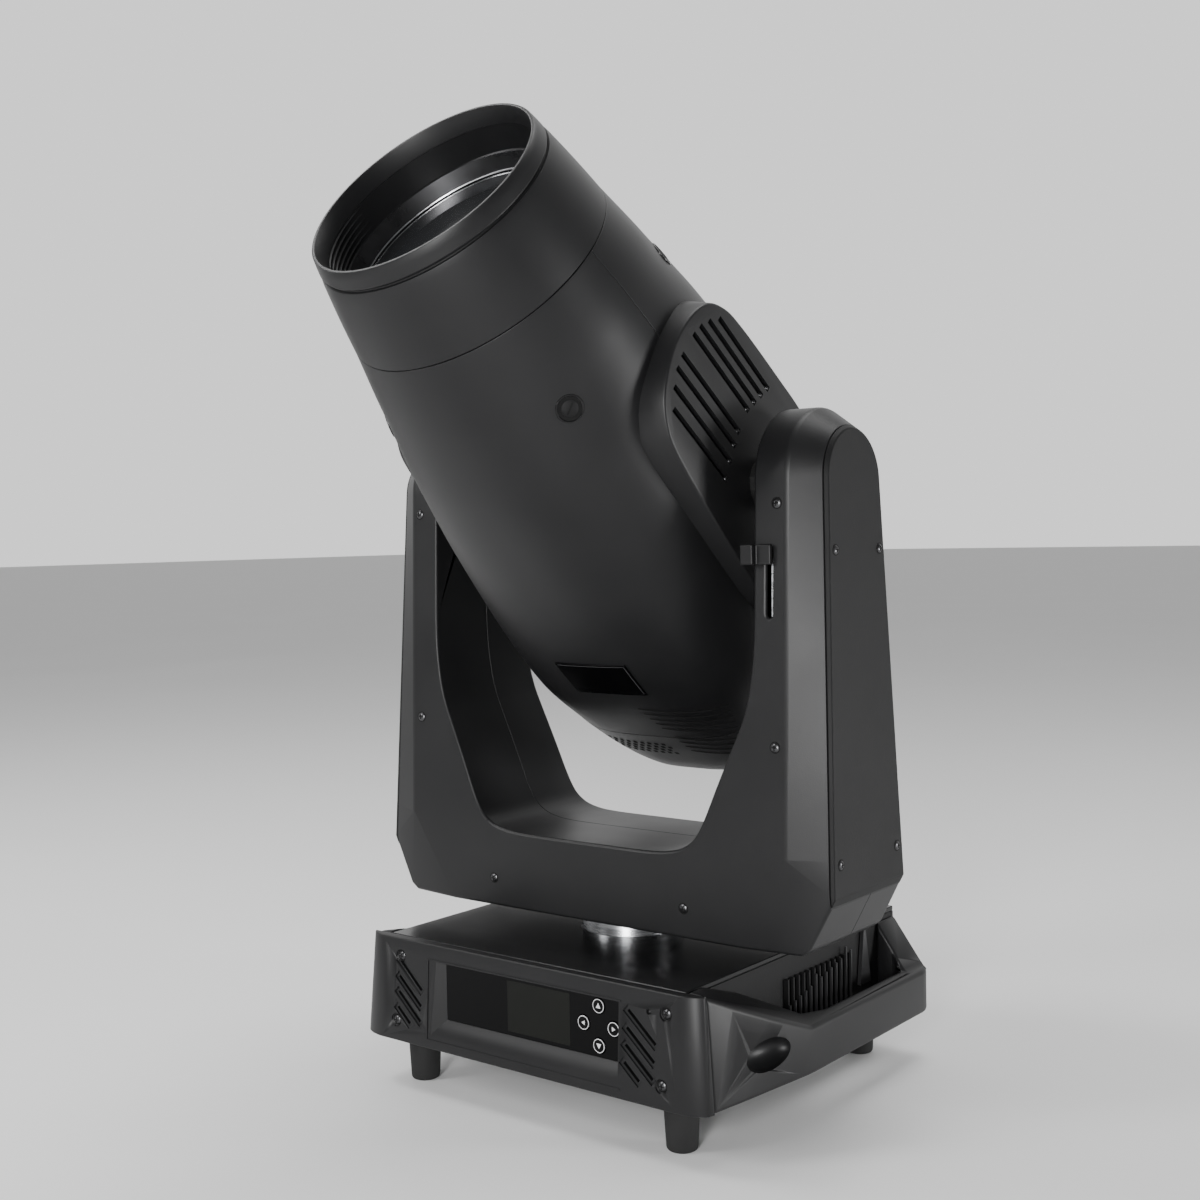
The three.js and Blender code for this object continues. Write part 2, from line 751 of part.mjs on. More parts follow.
function rearCap() {
  const inner = TAIL_SECTIONS.map((section, i) => ({
    ...section,
    s: section.s + (i === 0 ? WALL : i === 3 ? 1 : 0),
  }));
  const slots = [];
  for (let i = 0; i < 9; i += 1) {
    const x = -48 + 12 * i;
    slots.push(box(x - 2.2, x + 2.2, -70, 70, TAIL_S - 5, TAIL_S + 8));
  }
  return carved(loft(TAIL_SECTIONS), [loft(inner, -WALL), ...slots]);
}
put("rear_cap", rearCap(), MATERIAL.cover, head);

const POD = [
  [-56, -96],
  [-24, -116],
  [20, -119],
  [58, -102],
  [80, -65],
  [87, -10],
  [82, 40],
  [73, 100],
  [65, 127],
  [49, 146],
  [22, 155],
  [-10, 154],
  [-42, 141],
  [-60, 122],
  [-68, 98],
  [-71, 40],
  [-70, -60],
]; // side pod outline: [across, along], counter-clockwise

function podOutline(inset) {
  const curve = new THREE.CatmullRomCurve3(
    POD.map(([u, v]) => new THREE.Vector3(u, v, 0)),
    true,
  );
  const points = curve.getPoints(34).slice(0, -1);
  return grown(
    points.map((p) => [p.x, p.y]),
    -inset,
  );
}

function podBody(inset, low, edge, face) {
  const at = (outline, x) => outline.map(([u, v]) => [x, u, v]);
  return hull([
    ...at(podOutline(inset), low),
    ...at(podOutline(inset), edge),
    ...at(podOutline(inset + 4.5), face),
  ]);
}

const VENTS = [
  { across: 54.7, from: 42.5, to: 125 },
  { across: 43.7, from: 45.5, to: 133 },
  { across: 32.7, from: 48.5, to: 138 },
  { across: 21.7, from: 51.5, to: 140 },
  { across: 0.3, from: 49.5, to: 140 },
  { across: -11.7, from: 46.5, to: 138 },
  { across: -24.7, from: 42.5, to: 131.5 },
  { across: -37.7, from: 37.5, to: 121.5 },
];
const VENT_SKEW = 0.115; // the vents run slightly across the lens axis

function podShell() {
  const vents = VENTS.map(({ across, from, to }) => {
    const shift = (VENT_SKEW * (to - from)) / 2;
    const outline = [
      [across - 2 + shift, from],
      [across + 2 + shift, from],
      [across + 2 - shift, to],
      [across - 2 - shift, to],
    ];
    return prism(outline, POD_FACE - 8, POD_FACE + 2, "x");
  });
  return carved(podBody(0, 85, 112, POD_FACE), [
    podBody(5, 75, 110, POD_FACE - 3.5),
    loft(SECTIONS, 2 * GAP),
    rod(AXLE_R + 3, 100, 160, "x", 0, 0, 24),
    ...vents,
  ]);
}
put("side_pod_right", podShell(), MATERIAL.cover, head);
put("side_pod_left", mirrored(podShell()), MATERIAL.cover, head);

const tubeProfile = [
  [SEAM_S + GAP, 104],
  [SEAM_S + GAP, 108.6],
  [RING_S - GAP, 96.4],
  [RING_S - GAP, BORE_R],
  [274, BORE_R],
  [274, 84],
  [270, 84],
  [270, 82],
  [250, 82],
  [250, 86],
].map(([s, r]) => [r, s]);
put("nose_tube", turnedProfile(tubeProfile, 44), MATERIAL.cover, head);

const ringProfile = [
  [BORE_R, RING_S],
  [95.8, RING_S],
  [95.2, 302],
  [93.6, 303],
  [93.6, 304.5],
  [94.4, 305.5],
  [92.6, MOUTH_S],
  [90, MOUTH_S],
];
put("front_ring", turnedProfile(ringProfile, 44), MATERIAL.cover, head);

function lensProfile(radius, edge, centre, middle, steps = 6) {
  const back = [];
  const front = [];
  for (let i = 0; i <= steps; i += 1) {
    const r = (radius * i) / steps;
    const sag = ((centre - edge) / 2) * (1 - (r / radius) ** 2);
    back.push([r, middle - edge / 2 - sag]);
    front.unshift([r, middle + edge / 2 + sag]);
  }
  return [...back, ...front];
}
put("front_lens", turnedProfile(lensProfile(81.5, 5, 24, 260, 4), 32), MATERIAL.glass, head);

// inner frame, optics on two guide rods, and the light source with its cooling
const PLATE_X = 98;
const [FRAME_S0, FRAME_S1] = [-84, 222];

function headFrame() {
  const plates = [-1, 1].map((side) => {
    const [a, b] = [side * PLATE_X, side * (PLATE_X - 4)].sort((p, q) => p - q);
    return box(a, b, -40, 40, FRAME_S0, FRAME_S1);
  });
  const rearBulkhead = box(-PLATE_X, PLATE_X, -95, 95, FRAME_S0, FRAME_S0 + 4);
  const frontBulkhead = rod(101, FRAME_S1 - 4, FRAME_S1, "z", 0, 0, 28);
  return carved(united([...plates, rearBulkhead, frontBulkhead]), [
    rod(80, FRAME_S1 - 6, FRAME_S1 + 2, "z", 0, 0, 28),
    rod(24, FRAME_S0 - 2, FRAME_S0 + 8, "z", 0, 0, 16),
  ]);
}
put("head_frame", headFrame(), MATERIAL.metalBlack, head);

function tiltAxle(end) {
  const flange = rod(34, PLATE_X + GAP, PLATE_X + 6, "x", 0, 0, 24);
  const tube = rod(AXLE_R, PLATE_X + 2, end, "x", 0, 0, 24);
  return flange.add(tube).subtract(rod(12, PLATE_X, end + 1, "x", 0, 0, 16));
}
put("tilt_axle_right", tiltAxle(202), MATERIAL.steel, head);
put("tilt_axle_left", mirrored(tiltAxle(190)), MATERIAL.steel, head);
put(
  "tilt_pulley",
  pulley(TILT_PULLEY_R, AXLE_R + GAP, PULLEY_X, PULLEY_X + PULLEY_W, "x", 0, 0),
  MATERIAL.aluminium,
  head,
);

const ROD_X = 78;
for (const [name, x] of [
  ["guide_rod_left", -ROD_X],
  ["guide_rod_right", ROD_X],
])
  put(name, rod(4, FRAME_S0 + 4 + GAP, FRAME_S1 - 4 - GAP, "z", x, 0, 12), MATERIAL.steel, head);

function carriage(s, thickness, radius) {
  const plate = united([
    rod(radius + 10, s, s + thickness, "z", 0, 0, 24),
    box(-88, 88, -12, 12, s, s + thickness),
  ]);
  return carved(plate, [
    rod(radius + 1, s - 1, s + thickness + 1, "z", 0, 0, 24),
    rod(5, s - 1, s + thickness + 1, "z", -ROD_X, 0, 12),
    rod(5, s - 1, s + thickness + 1, "z", ROD_X, 0, 12),
  ]);
}
put("zoom_carriage", carriage(70, 10, 48), MATERIAL.aluminium, head);
put("zoom_lens", turnedProfile(lensProfile(48, 6, 16, 75, 2), 24), MATERIAL.glass, head);
put("focus_carriage", carriage(150, 10, 52), MATERIAL.aluminium, head);
put("focus_lens", turnedProfile(lensProfile(52, 6, 16, 155, 2), 24), MATERIAL.glass, head);

function filterWheel(radius, apertures, hole, orbit, v, s) {
  const disc = rod(radius, s, s + 2, "z", 0, v, 28).add(rod(10, s - 4, s + 6, "z", 0, v, 12));
  const cuts = Array.from({ length: apertures }, (_, i) => {
    const a = -Math.sign(v) * (Math.PI / 2) + (2 * Math.PI * i) / apertures;
    return rod(hole, s - 1, s + 3, "z", orbit * Math.cos(a), v + orbit * Math.sin(a), 9);
  });
  return carved(disc, cuts);
}
put("colour_wheel", filterWheel(62, 7, 13, 44, -44, -52), MATERIAL.glass, head);
put("gobo_wheel", filterWheel(62, 7, 13, 44, 44, -30), MATERIAL.aluminium, head);
put("light_engine", box(-60, 60, -60, 60, -106, FRAME_S0 - GAP), MATERIAL.aluminium, head);

function heatsink() {
  const fins = Array.from({ length: 11 }, (_, i) => {
    const x = -70 + 14 * i;
    return box(x - 1.5, x + 1.5, -75, 75, -160, -113);
  });
  return united([box(-74, 74, -75, 75, -114, -106 - GAP), ...fins]);
}
put("heatsink", heatsink(), MATERIAL.aluminium, head);

function fanFrame() {
  const frame = box(-60, 60, -60, 60, -196, -172);
  const spokes = united([
    box(-58, 58, -3, 3, -174, -172),
    box(-3, 3, -58, 58, -174, -172),
    rod(20, -174, -172, "z", 0, 0, 24),
  ]);
  return frame.subtract(rod(56, -200, -170, "z", 0, 0, 28)).add(spokes);
}
put("fan_frame", fanFrame(), MATERIAL.cover, head);

function impeller() {
  const blades = Array.from({ length: 7 }, (_, i) => {
    const blade = new THREE.BoxGeometry(36, 2, 14);
    blade.rotateX(0.7).translate(35, 0, 0);
    blade.rotateZ((2 * Math.PI * i) / 7).translate(0, 0, -185);
    return solid(blade);
  });
  return united([rod(19, -194, -176, "z", 0, 0, 24), ...blades]);
}
put("fan_impeller", impeller(), MATERIAL.cover, head);

function badge() {
  const outline = [
    [-33, -96],
    [39, -96],
    [39, -56],
    [-33, -56],
  ];
  const plate = prism(outline, -145, -125, "y");
  return plate.intersect(loft(SECTIONS, 1.2)).subtract(loft(SECTIONS, GAP));
}
put("badge_plate", badge(), MATERIAL.gloss, head);

export default light;
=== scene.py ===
"""Looks of the moving head light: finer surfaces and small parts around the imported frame."""
import math

import bmesh
import bpy
from mathutils import Matrix, Vector


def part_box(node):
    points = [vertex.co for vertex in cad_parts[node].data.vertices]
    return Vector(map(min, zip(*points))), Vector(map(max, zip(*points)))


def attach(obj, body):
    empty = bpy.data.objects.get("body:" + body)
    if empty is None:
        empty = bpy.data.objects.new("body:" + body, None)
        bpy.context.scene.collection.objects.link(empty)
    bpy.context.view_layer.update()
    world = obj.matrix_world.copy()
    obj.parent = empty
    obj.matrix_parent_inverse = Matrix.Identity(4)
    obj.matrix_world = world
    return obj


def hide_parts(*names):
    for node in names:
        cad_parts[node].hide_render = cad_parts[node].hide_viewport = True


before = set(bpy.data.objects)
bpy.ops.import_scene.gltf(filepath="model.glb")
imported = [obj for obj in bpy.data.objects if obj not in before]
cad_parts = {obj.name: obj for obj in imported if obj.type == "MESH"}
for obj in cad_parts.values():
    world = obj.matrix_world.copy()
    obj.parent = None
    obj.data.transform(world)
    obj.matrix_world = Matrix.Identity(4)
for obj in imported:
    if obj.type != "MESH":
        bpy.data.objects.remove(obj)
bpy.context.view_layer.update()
MM = 0.001  # lengths below are in millimetres, and are multiplied by this on their way into Blender
FLOOR_Z = -39
BASE_TOP = 84
PIVOT_Z = 449  # height of the tilt axis
TILT = Vector((0, 0, PIVOT_Z * MM))
LEAN = math.radians(47.3)
# The head frame has x across, y up the head's back and z along the lens axis.
HEAD = Matrix.Translation(TILT) @ Matrix.Rotation(LEAN, 4, "X")


def linked(name, data):
    """A new object in the scene."""
    obj = bpy.data.objects.new(name, data)
    bpy.context.scene.collection.objects.link(obj)
    return obj


# ---- camera ----
def place_camera():
    az, el, roll = (math.radians(v) for v in (38.43, 2.42, -1.14))
    back = Vector((math.sin(az) * math.cos(el), -math.cos(az) * math.cos(el), math.sin(el)))
    right = Vector((math.cos(az), math.sin(az), 0))
    up = back.cross(right)
    x = right * math.cos(roll) + up * math.sin(roll)
    y = up * math.cos(roll) - right * math.sin(roll)
    data = bpy.data.cameras.new("camera")
    data.sensor_width = 36
    data.lens = 46.62
    data.clip_end = 50
    camera = linked("camera", data)
    turn = Matrix((x, y, back)).transposed().to_4x4()
    camera.matrix_world = Matrix.Translation((0.7871, -1.0266, 0.4117)) @ turn
    bpy.context.scene.camera = camera


place_camera()


# ---- materials ----
def nodes_of(name):
    made = bpy.data.materials.new(name)
    made.use_nodes = True
    tree = made.node_tree
    return made, tree, tree.nodes["Principled BSDF"]


def texture(tree, scale, detail=3.0, stretch=(1, 1, 1)):
    """Noise in the piece's own coordinates."""
    where = tree.nodes.new("ShaderNodeTexCoord")
    sized = tree.nodes.new("ShaderNodeMapping")
    sized.inputs["Scale"].default_value = stretch
    tree.links.new(where.outputs["Object"], sized.inputs["Vector"])
    field = tree.nodes.new("ShaderNodeTexNoise")
    field.inputs["Scale"].default_value = scale
    field.inputs["Detail"].default_value = detail
    tree.links.new(sized.outputs["Vector"], field.inputs["Vector"])
    return field


NOISE_LOW, NOISE_HIGH = 0.3, 0.7  # the part of the noise's range that is used


def spread(tree, value, low, high, target):
    """Feeds a noise value into a socket as a range of numbers or of colours."""
    if isinstance(low, tuple):
        ramp = tree.nodes.new("ShaderNodeValToRGB")
        ramp.color_ramp.elements[0].position = NOISE_LOW
        ramp.color_ramp.elements[1].position = NOISE_HIGH
        ramp.color_ramp.elements[0].color = (*low, 1)
        ramp.color_ramp.elements[1].color = (*high, 1)
        tree.links.new(value, ramp.inputs["Fac"])
        tree.links.new(ramp.outputs["Color"], target)
        return
    scale = tree.nodes.new("ShaderNodeMapRange")
    scale.inputs["From Min"].default_value = NOISE_LOW
    scale.inputs["From Max"].default_value = NOISE_HIGH
    scale.inputs["To Min"].default_value = low
    scale.inputs["To Max"].default_value = high
    tree.links.new(value, scale.inputs["Value"])
    tree.links.new(scale.outputs["Result"], target)


def finish(
    name, dark, light, rough, grain=0, depth=0.0, metal=0.0, stretch=(1, 1, 1), cloud=18, gleam=0.28
):
    """A mottled surface: colour and roughness drift slowly, and a fine grain stands out of it."""
    made, tree, shader = nodes_of(name)
    slow = texture(tree, cloud, 4, stretch)
    spread(tree, slow.outputs["Fac"], dark, light, shader.inputs["Base Color"])
    spread(tree, slow.outputs["Fac"], rough[0], rough[1], shader.inputs["Roughness"])
    shader.inputs["Metallic"].default_value = metal
    shader.inputs["Specular IOR Level"].default_value = gleam
    if grain:
        fine = texture(tree, grain, 2, stretch)
        bump = tree.nodes.new("ShaderNodeBump")
        bump.inputs["Strength"].default_value = depth
        bump.inputs["Distance"].default_value = 0.0004
        tree.links.new(fine.outputs["Fac"], bump.inputs["Height"])
        tree.links.new(bump.outputs["Normal"], shader.inputs["Normal"])
    return made


def see_through(name, tint, low, high):
    """Tinted glass whose roughness drifts between low and high."""
    made, tree, shader = nodes_of(name)
    slow = texture(tree, 9)
    spread(tree, slow.outputs["Fac"], low, high, shader.inputs["Roughness"])
    shader.inputs["Base Color"].default_value = (*tint, 1)
    shader.inputs["Transmission Weight"].default_value = 0.72
    shader.inputs["IOR"].default_value = 1.5
    shader.inputs["Coat Weight"].default_value = 0.25
    shader.inputs["Coat Roughness"].default_value = 0.05
    shader.inputs["Specular IOR Level"].default_value = 0.3
    return made


PLASTIC = finish(
    "moulded_plastic", (0.0065, 0.0065, 0.007), (0.0085, 0.0085, 0.009), (0.40, 0.44), 1500, 0.10
)
YOKE = finish(
    "yoke_plastic", (0.0075, 0.0075, 0.008), (0.0098, 0.0098, 0.0103), (0.39, 0.43), 1300, 0.12
)
TOP = finish(
    "smooth_plastic", (0.0050, 0.0050, 0.0054), (0.0062, 0.0062, 0.0066), (0.20, 0.23), 900, 0.03, cloud=4
)
COAT = finish(
    "powder_coat", (0.0045, 0.0045, 0.0048), (0.0065, 0.0065, 0.0068), (0.52, 0.60), 700, 0.22, gleam=0.2
)
GLOSS = finish(
    "gloss_panel", (0.0016, 0.0016, 0.0018), (0.0022, 0.0022, 0.0024), (0.06, 0.09), cloud=5, gleam=0.09
)
SCREEN = finish(
    "screen", (0.0050, 0.0054, 0.0046), (0.0068, 0.0072, 0.0060), (0.10, 0.14), cloud=14, gleam=0.12
)
FINS = finish(
    "bare_fins", (0.035, 0.035, 0.036), (0.055, 0.055, 0.057), (0.34, 0.44), 600, 0.1, 0.6
)
RUBBER = finish("rubber", (0.010, 0.010, 0.010), (0.017, 0.017, 0.017), (0.7, 0.85), 600, 0.3)
TURNED = finish(
    "turned_aluminium", (0.50, 0.51, 0.53), (0.68, 0.69, 0.71), (0.2, 0.34), 260, 0.08, 1.0, (1, 1, 14)
)
STEEL = finish(
    "brushed_steel", (0.36, 0.36, 0.38), (0.52, 0.52, 0.54), (0.26, 0.4), 240, 0.08, 1.0, (9, 1, 1)
)
DARK_STEEL = finish(
    "black_zinc", (0.05, 0.05, 0.052), (0.09, 0.09, 0.093), (0.24, 0.34), 900, 0.1, 0.9
)
# Bright metal for the real tilt lock plate, and for the painted glint on the lens keeper's lip.
BRIGHT = finish(
    "bright_plate_and_glint", (0.62, 0.63, 0.65), (0.80, 0.81, 0.83), (0.22, 0.32), 400, 0.06, 1.0, (1, 1, 8)
)
SHADE = finish(
    "shadow_slot", (0.0016, 0.0016, 0.0016), (0.003, 0.003, 0.003), (0.8, 0.95), 500, 0.2
)
BAFFLE = finish("baffle_black", (0.005, 0.005, 0.005), (0.009, 0.009, 0.009), (0.45, 0.6), 900, 0.2)
MARK = finish("printed_mark", (0.55, 0.55, 0.56), (0.68, 0.68, 0.69), (0.4, 0.5))
# Painted highlight: a light grey for the lit edges of the badge.
PAINTED_EDGE_LIGHT = finish("painted_edge_highlight", (0.045, 0.045, 0.047), (0.07, 0.07, 0.072), (0.35, 0.45))
BOARD = finish("solder_mask", (0.010, 0.055, 0.024), (0.016, 0.085, 0.038), (0.25, 0.4), 500, 0.1)
CAST = finish("cast_aluminium", (0.34, 0.35, 0.36), (0.5, 0.5, 0.52), (0.35, 0.5), 500, 0.25, 0.95)
LENS = see_through("front_glass", (0.05, 0.052, 0.056), 0.0, 0.03)
INNER_LENS = see_through("inner_glass", (0.80, 0.86, 0.92), 0.0, 0.03)
DICHROIC = see_through("dichroic_glass", (0.42, 0.30, 0.66), 0.0, 0.05)


# ---- mesh helpers ----
def made_object(name, mesh, material, body):
    obj = linked(name, mesh)
    mesh.materials.clear()
    mesh.materials.append(material)
    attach(obj, body)
    return obj


def build(name, verts, faces, place=None):
    """A mesh from millimetres, moved to its place, its doubles merged and its normals outward."""
    mesh = bpy.data.meshes.new(name)
    mesh.from_pydata([Vector(v) * MM for v in verts], [], faces)
    if place:
        mesh.transform(place)
    bm = bmesh.new()
    bm.from_mesh(mesh)
    bmesh.ops.remove_doubles(bm, verts=bm.verts, dist=1e-6)
    bmesh.ops.recalc_face_normals(bm, faces=bm.faces)
    bm.to_mesh(mesh)
    bm.free()
    return mesh


def smooth(mesh, angle):
    for face in mesh.polygons:
        face.use_smooth = True
    mesh.set_sharp_from_angle(angle=math.radians(angle))


def bevelled(obj, width, segments, angle=32, clamp=True):
    mod = obj.modifiers.new("edges", "BEVEL")
    mod.width = width * MM
    mod.segments = segments
    mod.limit_method = "ANGLE"
    mod.angle_limit = math.radians(angle)
    mod.use_clamp_overlap = clamp
    mod.harden_normals = False
    mod.miter_outer = "MITER_ARC"
    smooth(obj.data, 40)
    weight = obj.modifiers.new("normals", "WEIGHTED_NORMAL")
    weight.keep_sharp = True
    weight.weight = 80


def baked(mesh, modify):
    """The mesh after modify(obj) has added its modifiers."""
    obj = linked("work", mesh)
    modify(obj)
    bpy.context.view_layer.update()
    graph = bpy.context.evaluated_depsgraph_get()
    result = bpy.data.meshes.new_from_object(obj.evaluated_get(graph))
    bpy.data.objects.remove(obj)
    return result


def combined(mesh, others, operation="DIFFERENCE"):
    """One mesh minus, plus or crossed with others."""
    tools = [linked("tool", other) for other in others]

    def modify(obj):
        for tool in tools:
            mod = obj.modifiers.new("cut", "BOOLEAN")
            mod.operation = operation
            mod.solver = "EXACT"
            mod.object = tool

    result = baked(mesh, modify)
    for tool in tools:
        bpy.data.objects.remove(tool)
    return result


def hull(name, points):
    bm = bmesh.new()
    for p in points:
        bm.verts.new(Vector(p) * MM)
    made = bmesh.ops.convex_hull(bm, input=bm.verts)
    spare = made["geom_interior"] + made["geom_unused"]
    loose = list({v for v in spare if isinstance(v, bmesh.types.BMVert)})
    bmesh.ops.delete(bm, geom=loose, context="VERTS")
    flat = math.radians(0.5)
    bmesh.ops.dissolve_limit(bm, angle_limit=flat, verts=bm.verts, edges=bm.edges)
    mesh = bpy.data.meshes.new(name)
    bm.to_mesh(mesh)
    bm.free()
    return mesh


def block(name, x, y, z):
    return hull(name, [(a, b, c) for a in x for b in y for c in z])


def lathe_data(profile, count, closed=False):
    """Profile of (radius, height) turned round Z."""
    verts, faces = [], []
    for i in range(count):
        a = 2 * math.pi * i / count
        verts += [(r * math.cos(a), r * math.sin(a), h) for r, h in profile]
    size = len(profile)
    last = size if closed else size - 1
    for i in range(count):
        p, q = i * size, ((i + 1) % count) * size
        for k in range(last):
            m = (k + 1) % size
            faces.append((p + k, q + k, q + m, p + m))
    return verts, faces


def lathe(name, profile, count, closed=False, place=None):
    verts, faces = lathe_data(profile, count, closed)
    mesh = build(name, verts, faces, place)
    smooth(mesh, 30)
    return mesh


def pillar(name, radius, low, high, place=None, count=48):
    return lathe(name, [(0, low), (radius, low), (radius, high), (0, high)], count, place=place)


def joined(name, meshes):
    bm = bmesh.new()
    for mesh in meshes:
        bm.from_mesh(mesh)
    result = bpy.data.meshes.new(name)
    bm.to_mesh(result)
    bm.free()
    return result


def mirror(mesh):
    """Makes the left-hand mesh of a right-hand one."""
    mesh.transform(Matrix.Scale(-1, 4, (1, 0, 0)))
    mesh.flip_normals()


def merged(mesh, gap, degrees):
    """Joins vertices closer than gap metres, and faces that lie flat within an angle."""
    bm = bmesh.new()
    bm.from_mesh(mesh)
    bmesh.ops.remove_doubles(bm, verts=bm.verts, dist=gap)
    bmesh.ops.dissolve_limit(bm, angle_limit=math.radians(degrees), verts=bm.verts, edges=bm.edges)
    bm.to_mesh(mesh)
    bm.free()


def walled(obj, thickness, outward):
    """Gives a sheet a thickness on its inner side."""
    wall = obj.modifiers.new("wall", "SOLIDIFY")
    wall.thickness = thickness * MM
    wall.offset = -1 if outward else 1


def at(x, y, z, axis):
    """A place from millimetres, with its Z along axis."""
    turn = Vector(axis).to_track_quat("Z", "Y").to_matrix().to_4x4()
    return Matrix.Translation(Vector((x, y, z)) * MM) @ turn


def refined(node, name, body, material, bevel, segments=3):
    """The node's own shape with flat faces merged and its edges broken."""
    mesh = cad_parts[node].data.copy()
    merged(mesh, 2e-6, 0.6)
    obj = made_object(name, mesh, material, body)
    bevelled(obj, bevel, segments)
    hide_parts(node)
    return obj


def paint(material, *nodes):
    """The material of pieces that keep their CAD shape."""
    for node in nodes:
        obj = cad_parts[node]
        obj.data.materials.clear()
        obj.data.materials.append(material)


def screw_parts(place, radius, height):
    """A domed screw head with a cross of painted shade standing for its recess, and a ring of painted shade
    round its seat.
    """
    dome = [(0, height), (radius * 0.45, height * 0.94), (radius * 0.8, height * 0.62)]
    dome += [(radius, height * 0.16), (radius, -0.6), (0, -0.6)]
    head_mesh = lathe("screw", dome, 28, place=place)
    cross = []
    for a, b in ((radius * 0.56, 0.42), (0.42, radius * 0.56)):
        bar = block("cross", (-a, a), (-b, b), (height * 0.5, height + 0.12))
        bar.transform(place)
        cross.append(bar)
    ring = [(radius + 0.05, 0.05), (radius + 0.9, 0.05), (radius + 0.9, -0.3)]
    seat = lathe("seat", ring, 28, place=place)
    return head_mesh, joined("dark", cross + [seat])


def screws(name, body, places, radius, height):
    made = [screw_parts(place, radius, height) for place in places]
    made_object(name, joined(name, [m[0] for m in made]), DARK_STEEL, body)
    # Painted shade: the cross bars and seat rings are near-black pieces where a recess, or the gap round a
    # head, falls into shade.
    made_object(name + "_recess_shade", joined(name, [m[1] for m in made]), SHADE, body)
    smooth(bpy.data.objects[name].data, 30)


# ---- base ----
PANEL_TOP_Y = -143
PANEL_LEAN = 5  # how much further out the front panel's bottom edge is
PANEL_OUT = (0, -1, -0.06)
BEZEL_SCREWS = [(139, 68.6), (136, 16.6), (-129, 69.6), (-133, 16.6)]
PIN_HOLE = (124, 68)
HUB_RADIUS = 41.5


def base():
    for end in ("front", "rear"):
        for side in ("left", "right"):
            node = f"foot_{end}_{side}"
            low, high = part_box(node)
            middle = (low + high) / 2 / MM
            profile = [(0, FLOOR_Z), (10.2, FLOOR_Z), (10.9, -38.6), (11.6, -37.6), (11.9, -36)]
            profile += [(13.7, -1.2), (13.4, -0.3), (0, -0.3)]
            place = Matrix.Translation((middle.x * MM, middle.y * MM, 0))
            mesh = lathe(node, profile, 64, place=place)
            foot = made_object(node + "_skin", mesh, RUBBER, "base")
            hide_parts(node)
    refined("base_top_cover", "top_cover", "base", TOP, 0.8)
    bezel()
    fins()
    paint(COAT, "base_chassis", "rear_panel", "power_supply")
    paint(BOARD, "control_board")
    paint(PLASTIC, "power_inlet")
    paint(STEEL, "data_socket")
    paint(CAST, "pan_fixed_pulley")
    profile = [(22, 50), (60, 50), (60, 56), (HUB_RADIUS, 62), (HUB_RADIUS, 97)]
    profile += [(HUB_RADIUS - 0.2, 97.7), (HUB_RADIUS - 0.8, 98), (28, 98), (28, 112.7), (22, 112.7)]
    hub = made_object("hub", lathe("hub", profile, 160, True), TURNED, "base")
    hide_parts("pan_bearing_housing")
    display()
    for side in (1, -1):
        handle(side)
    places = [at(x, panel_y(z) + 1.5, z, PANEL_OUT) for x, z in BEZEL_SCREWS]
    screws("bezel_screws", "base", places, 3.5, 1.3)
    rear_parts()


def panel_y(z):
    """The sloping face of the front bezel."""
    return PANEL_TOP_Y - (BASE_TOP - z) * PANEL_LEAN / BASE_TOP


def bezel():
    """The front bezel: rounded ends, a sunken window, slotted grooves and countersunk screws."""
    end = 150  # where the flat front stops and a corner begins
    corner = [(0, 0), (3, 0.25), (6, 0.75), (9, 1.5), (12, 2.5), (14.6, 3.65), (17, 5.1)]
    corner += [(19, 6.7), (20.5, 8.4)]
    rim = []
    for z, wide in ((0, 1.1), (BASE_TOP, 0.86)):
        for side in (-1, 1):
            rim += [(side * (end + out * wide), panel_y(z) + back, z) for out, back in corner]
            rim.append((side * (end + 21.5 * wide), -134, z))
    shell = hull("bezel", rim)
    shell = baked(shell, lambda obj: bevelled(obj, 1.1, 3, 30, False))
    seat_x, seat_z = (-82.3, 96.3), (23.7, 70.3)
    mouth = [(x, -150, z) for x in (-97, 97) for z in (8, 71)]
    recess = hull("recess", mouth + [(x, -139, z) for x in seat_x for z in seat_z])
    seat = block("seat", seat_x, (-139.2, -132), seat_z)
    grooves, slots, bores = [], [], []
    run, drop = 25, 21
    along = Vector((run, -drop)).normalized()
    across = Vector((-along.y, along.x))
    starts = [(105.5, 67, 1), (104.5, 54, 1), (103.5, 41.5, 1), (102.5, 28.5, 0.55)]
    for side in (-1, 1):
        for x, z, part in starts:
            first = Vector((x, z)) if side > 0 else Vector((-130.5 + (x - 104) / 2, z))
            last = first + Vector((run, -drop)) * part
            for cutters, half, more, y0 in ((grooves, 3.4, 2.6, 1.1), (slots, 1.25, 0.0, 16)):
                a = first - along * more - across * 1.2
                b = last + along * more - across * 1.2
                corners = [p + across * half * sign for p in (a, b) for sign in (1, -1)]
                front = [(p.x, panel_y(p.y) - 2, p.y) for p in corners]
                back = [(p.x, panel_y(p.y) + y0, p.y) for p in corners]
                cutters.append(hull("slot", front + back))
    for x, z in BEZEL_SCREWS + [PIN_HOLE]:
        radius, deep = (2.2, 3) if (x, z) == PIN_HOLE else (5.4, 1.7)
        bores.append(pillar("bore", radius, -deep, 3, at(x, panel_y(z), z, PANEL_OUT), 36))
    for cutter in (recess, seat, joined("g", grooves), joined("s", slots), joined("b", bores)):
        shell = combined(shell, [cutter])
    smooth(shell, 30)
    obj = made_object("bezel_shell", shell, PLASTIC, "base")
    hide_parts("front_bezel")
    lip = []
    sides = [((-98.5, 98.5), (6.6, 7.9)), ((-98.4, -97.2), (7.9, 71)), ((-98.5, 98.5), (71.1, 72.2))]
    for xs, zs in sides:
        lip.append(hull("lip", [(x, panel_y(z) + d, z) for x in xs for z in zs for d in (-0.5, 1)]))
    made_object("window_lip", joined("lip", lip), PLASTIC, "base")


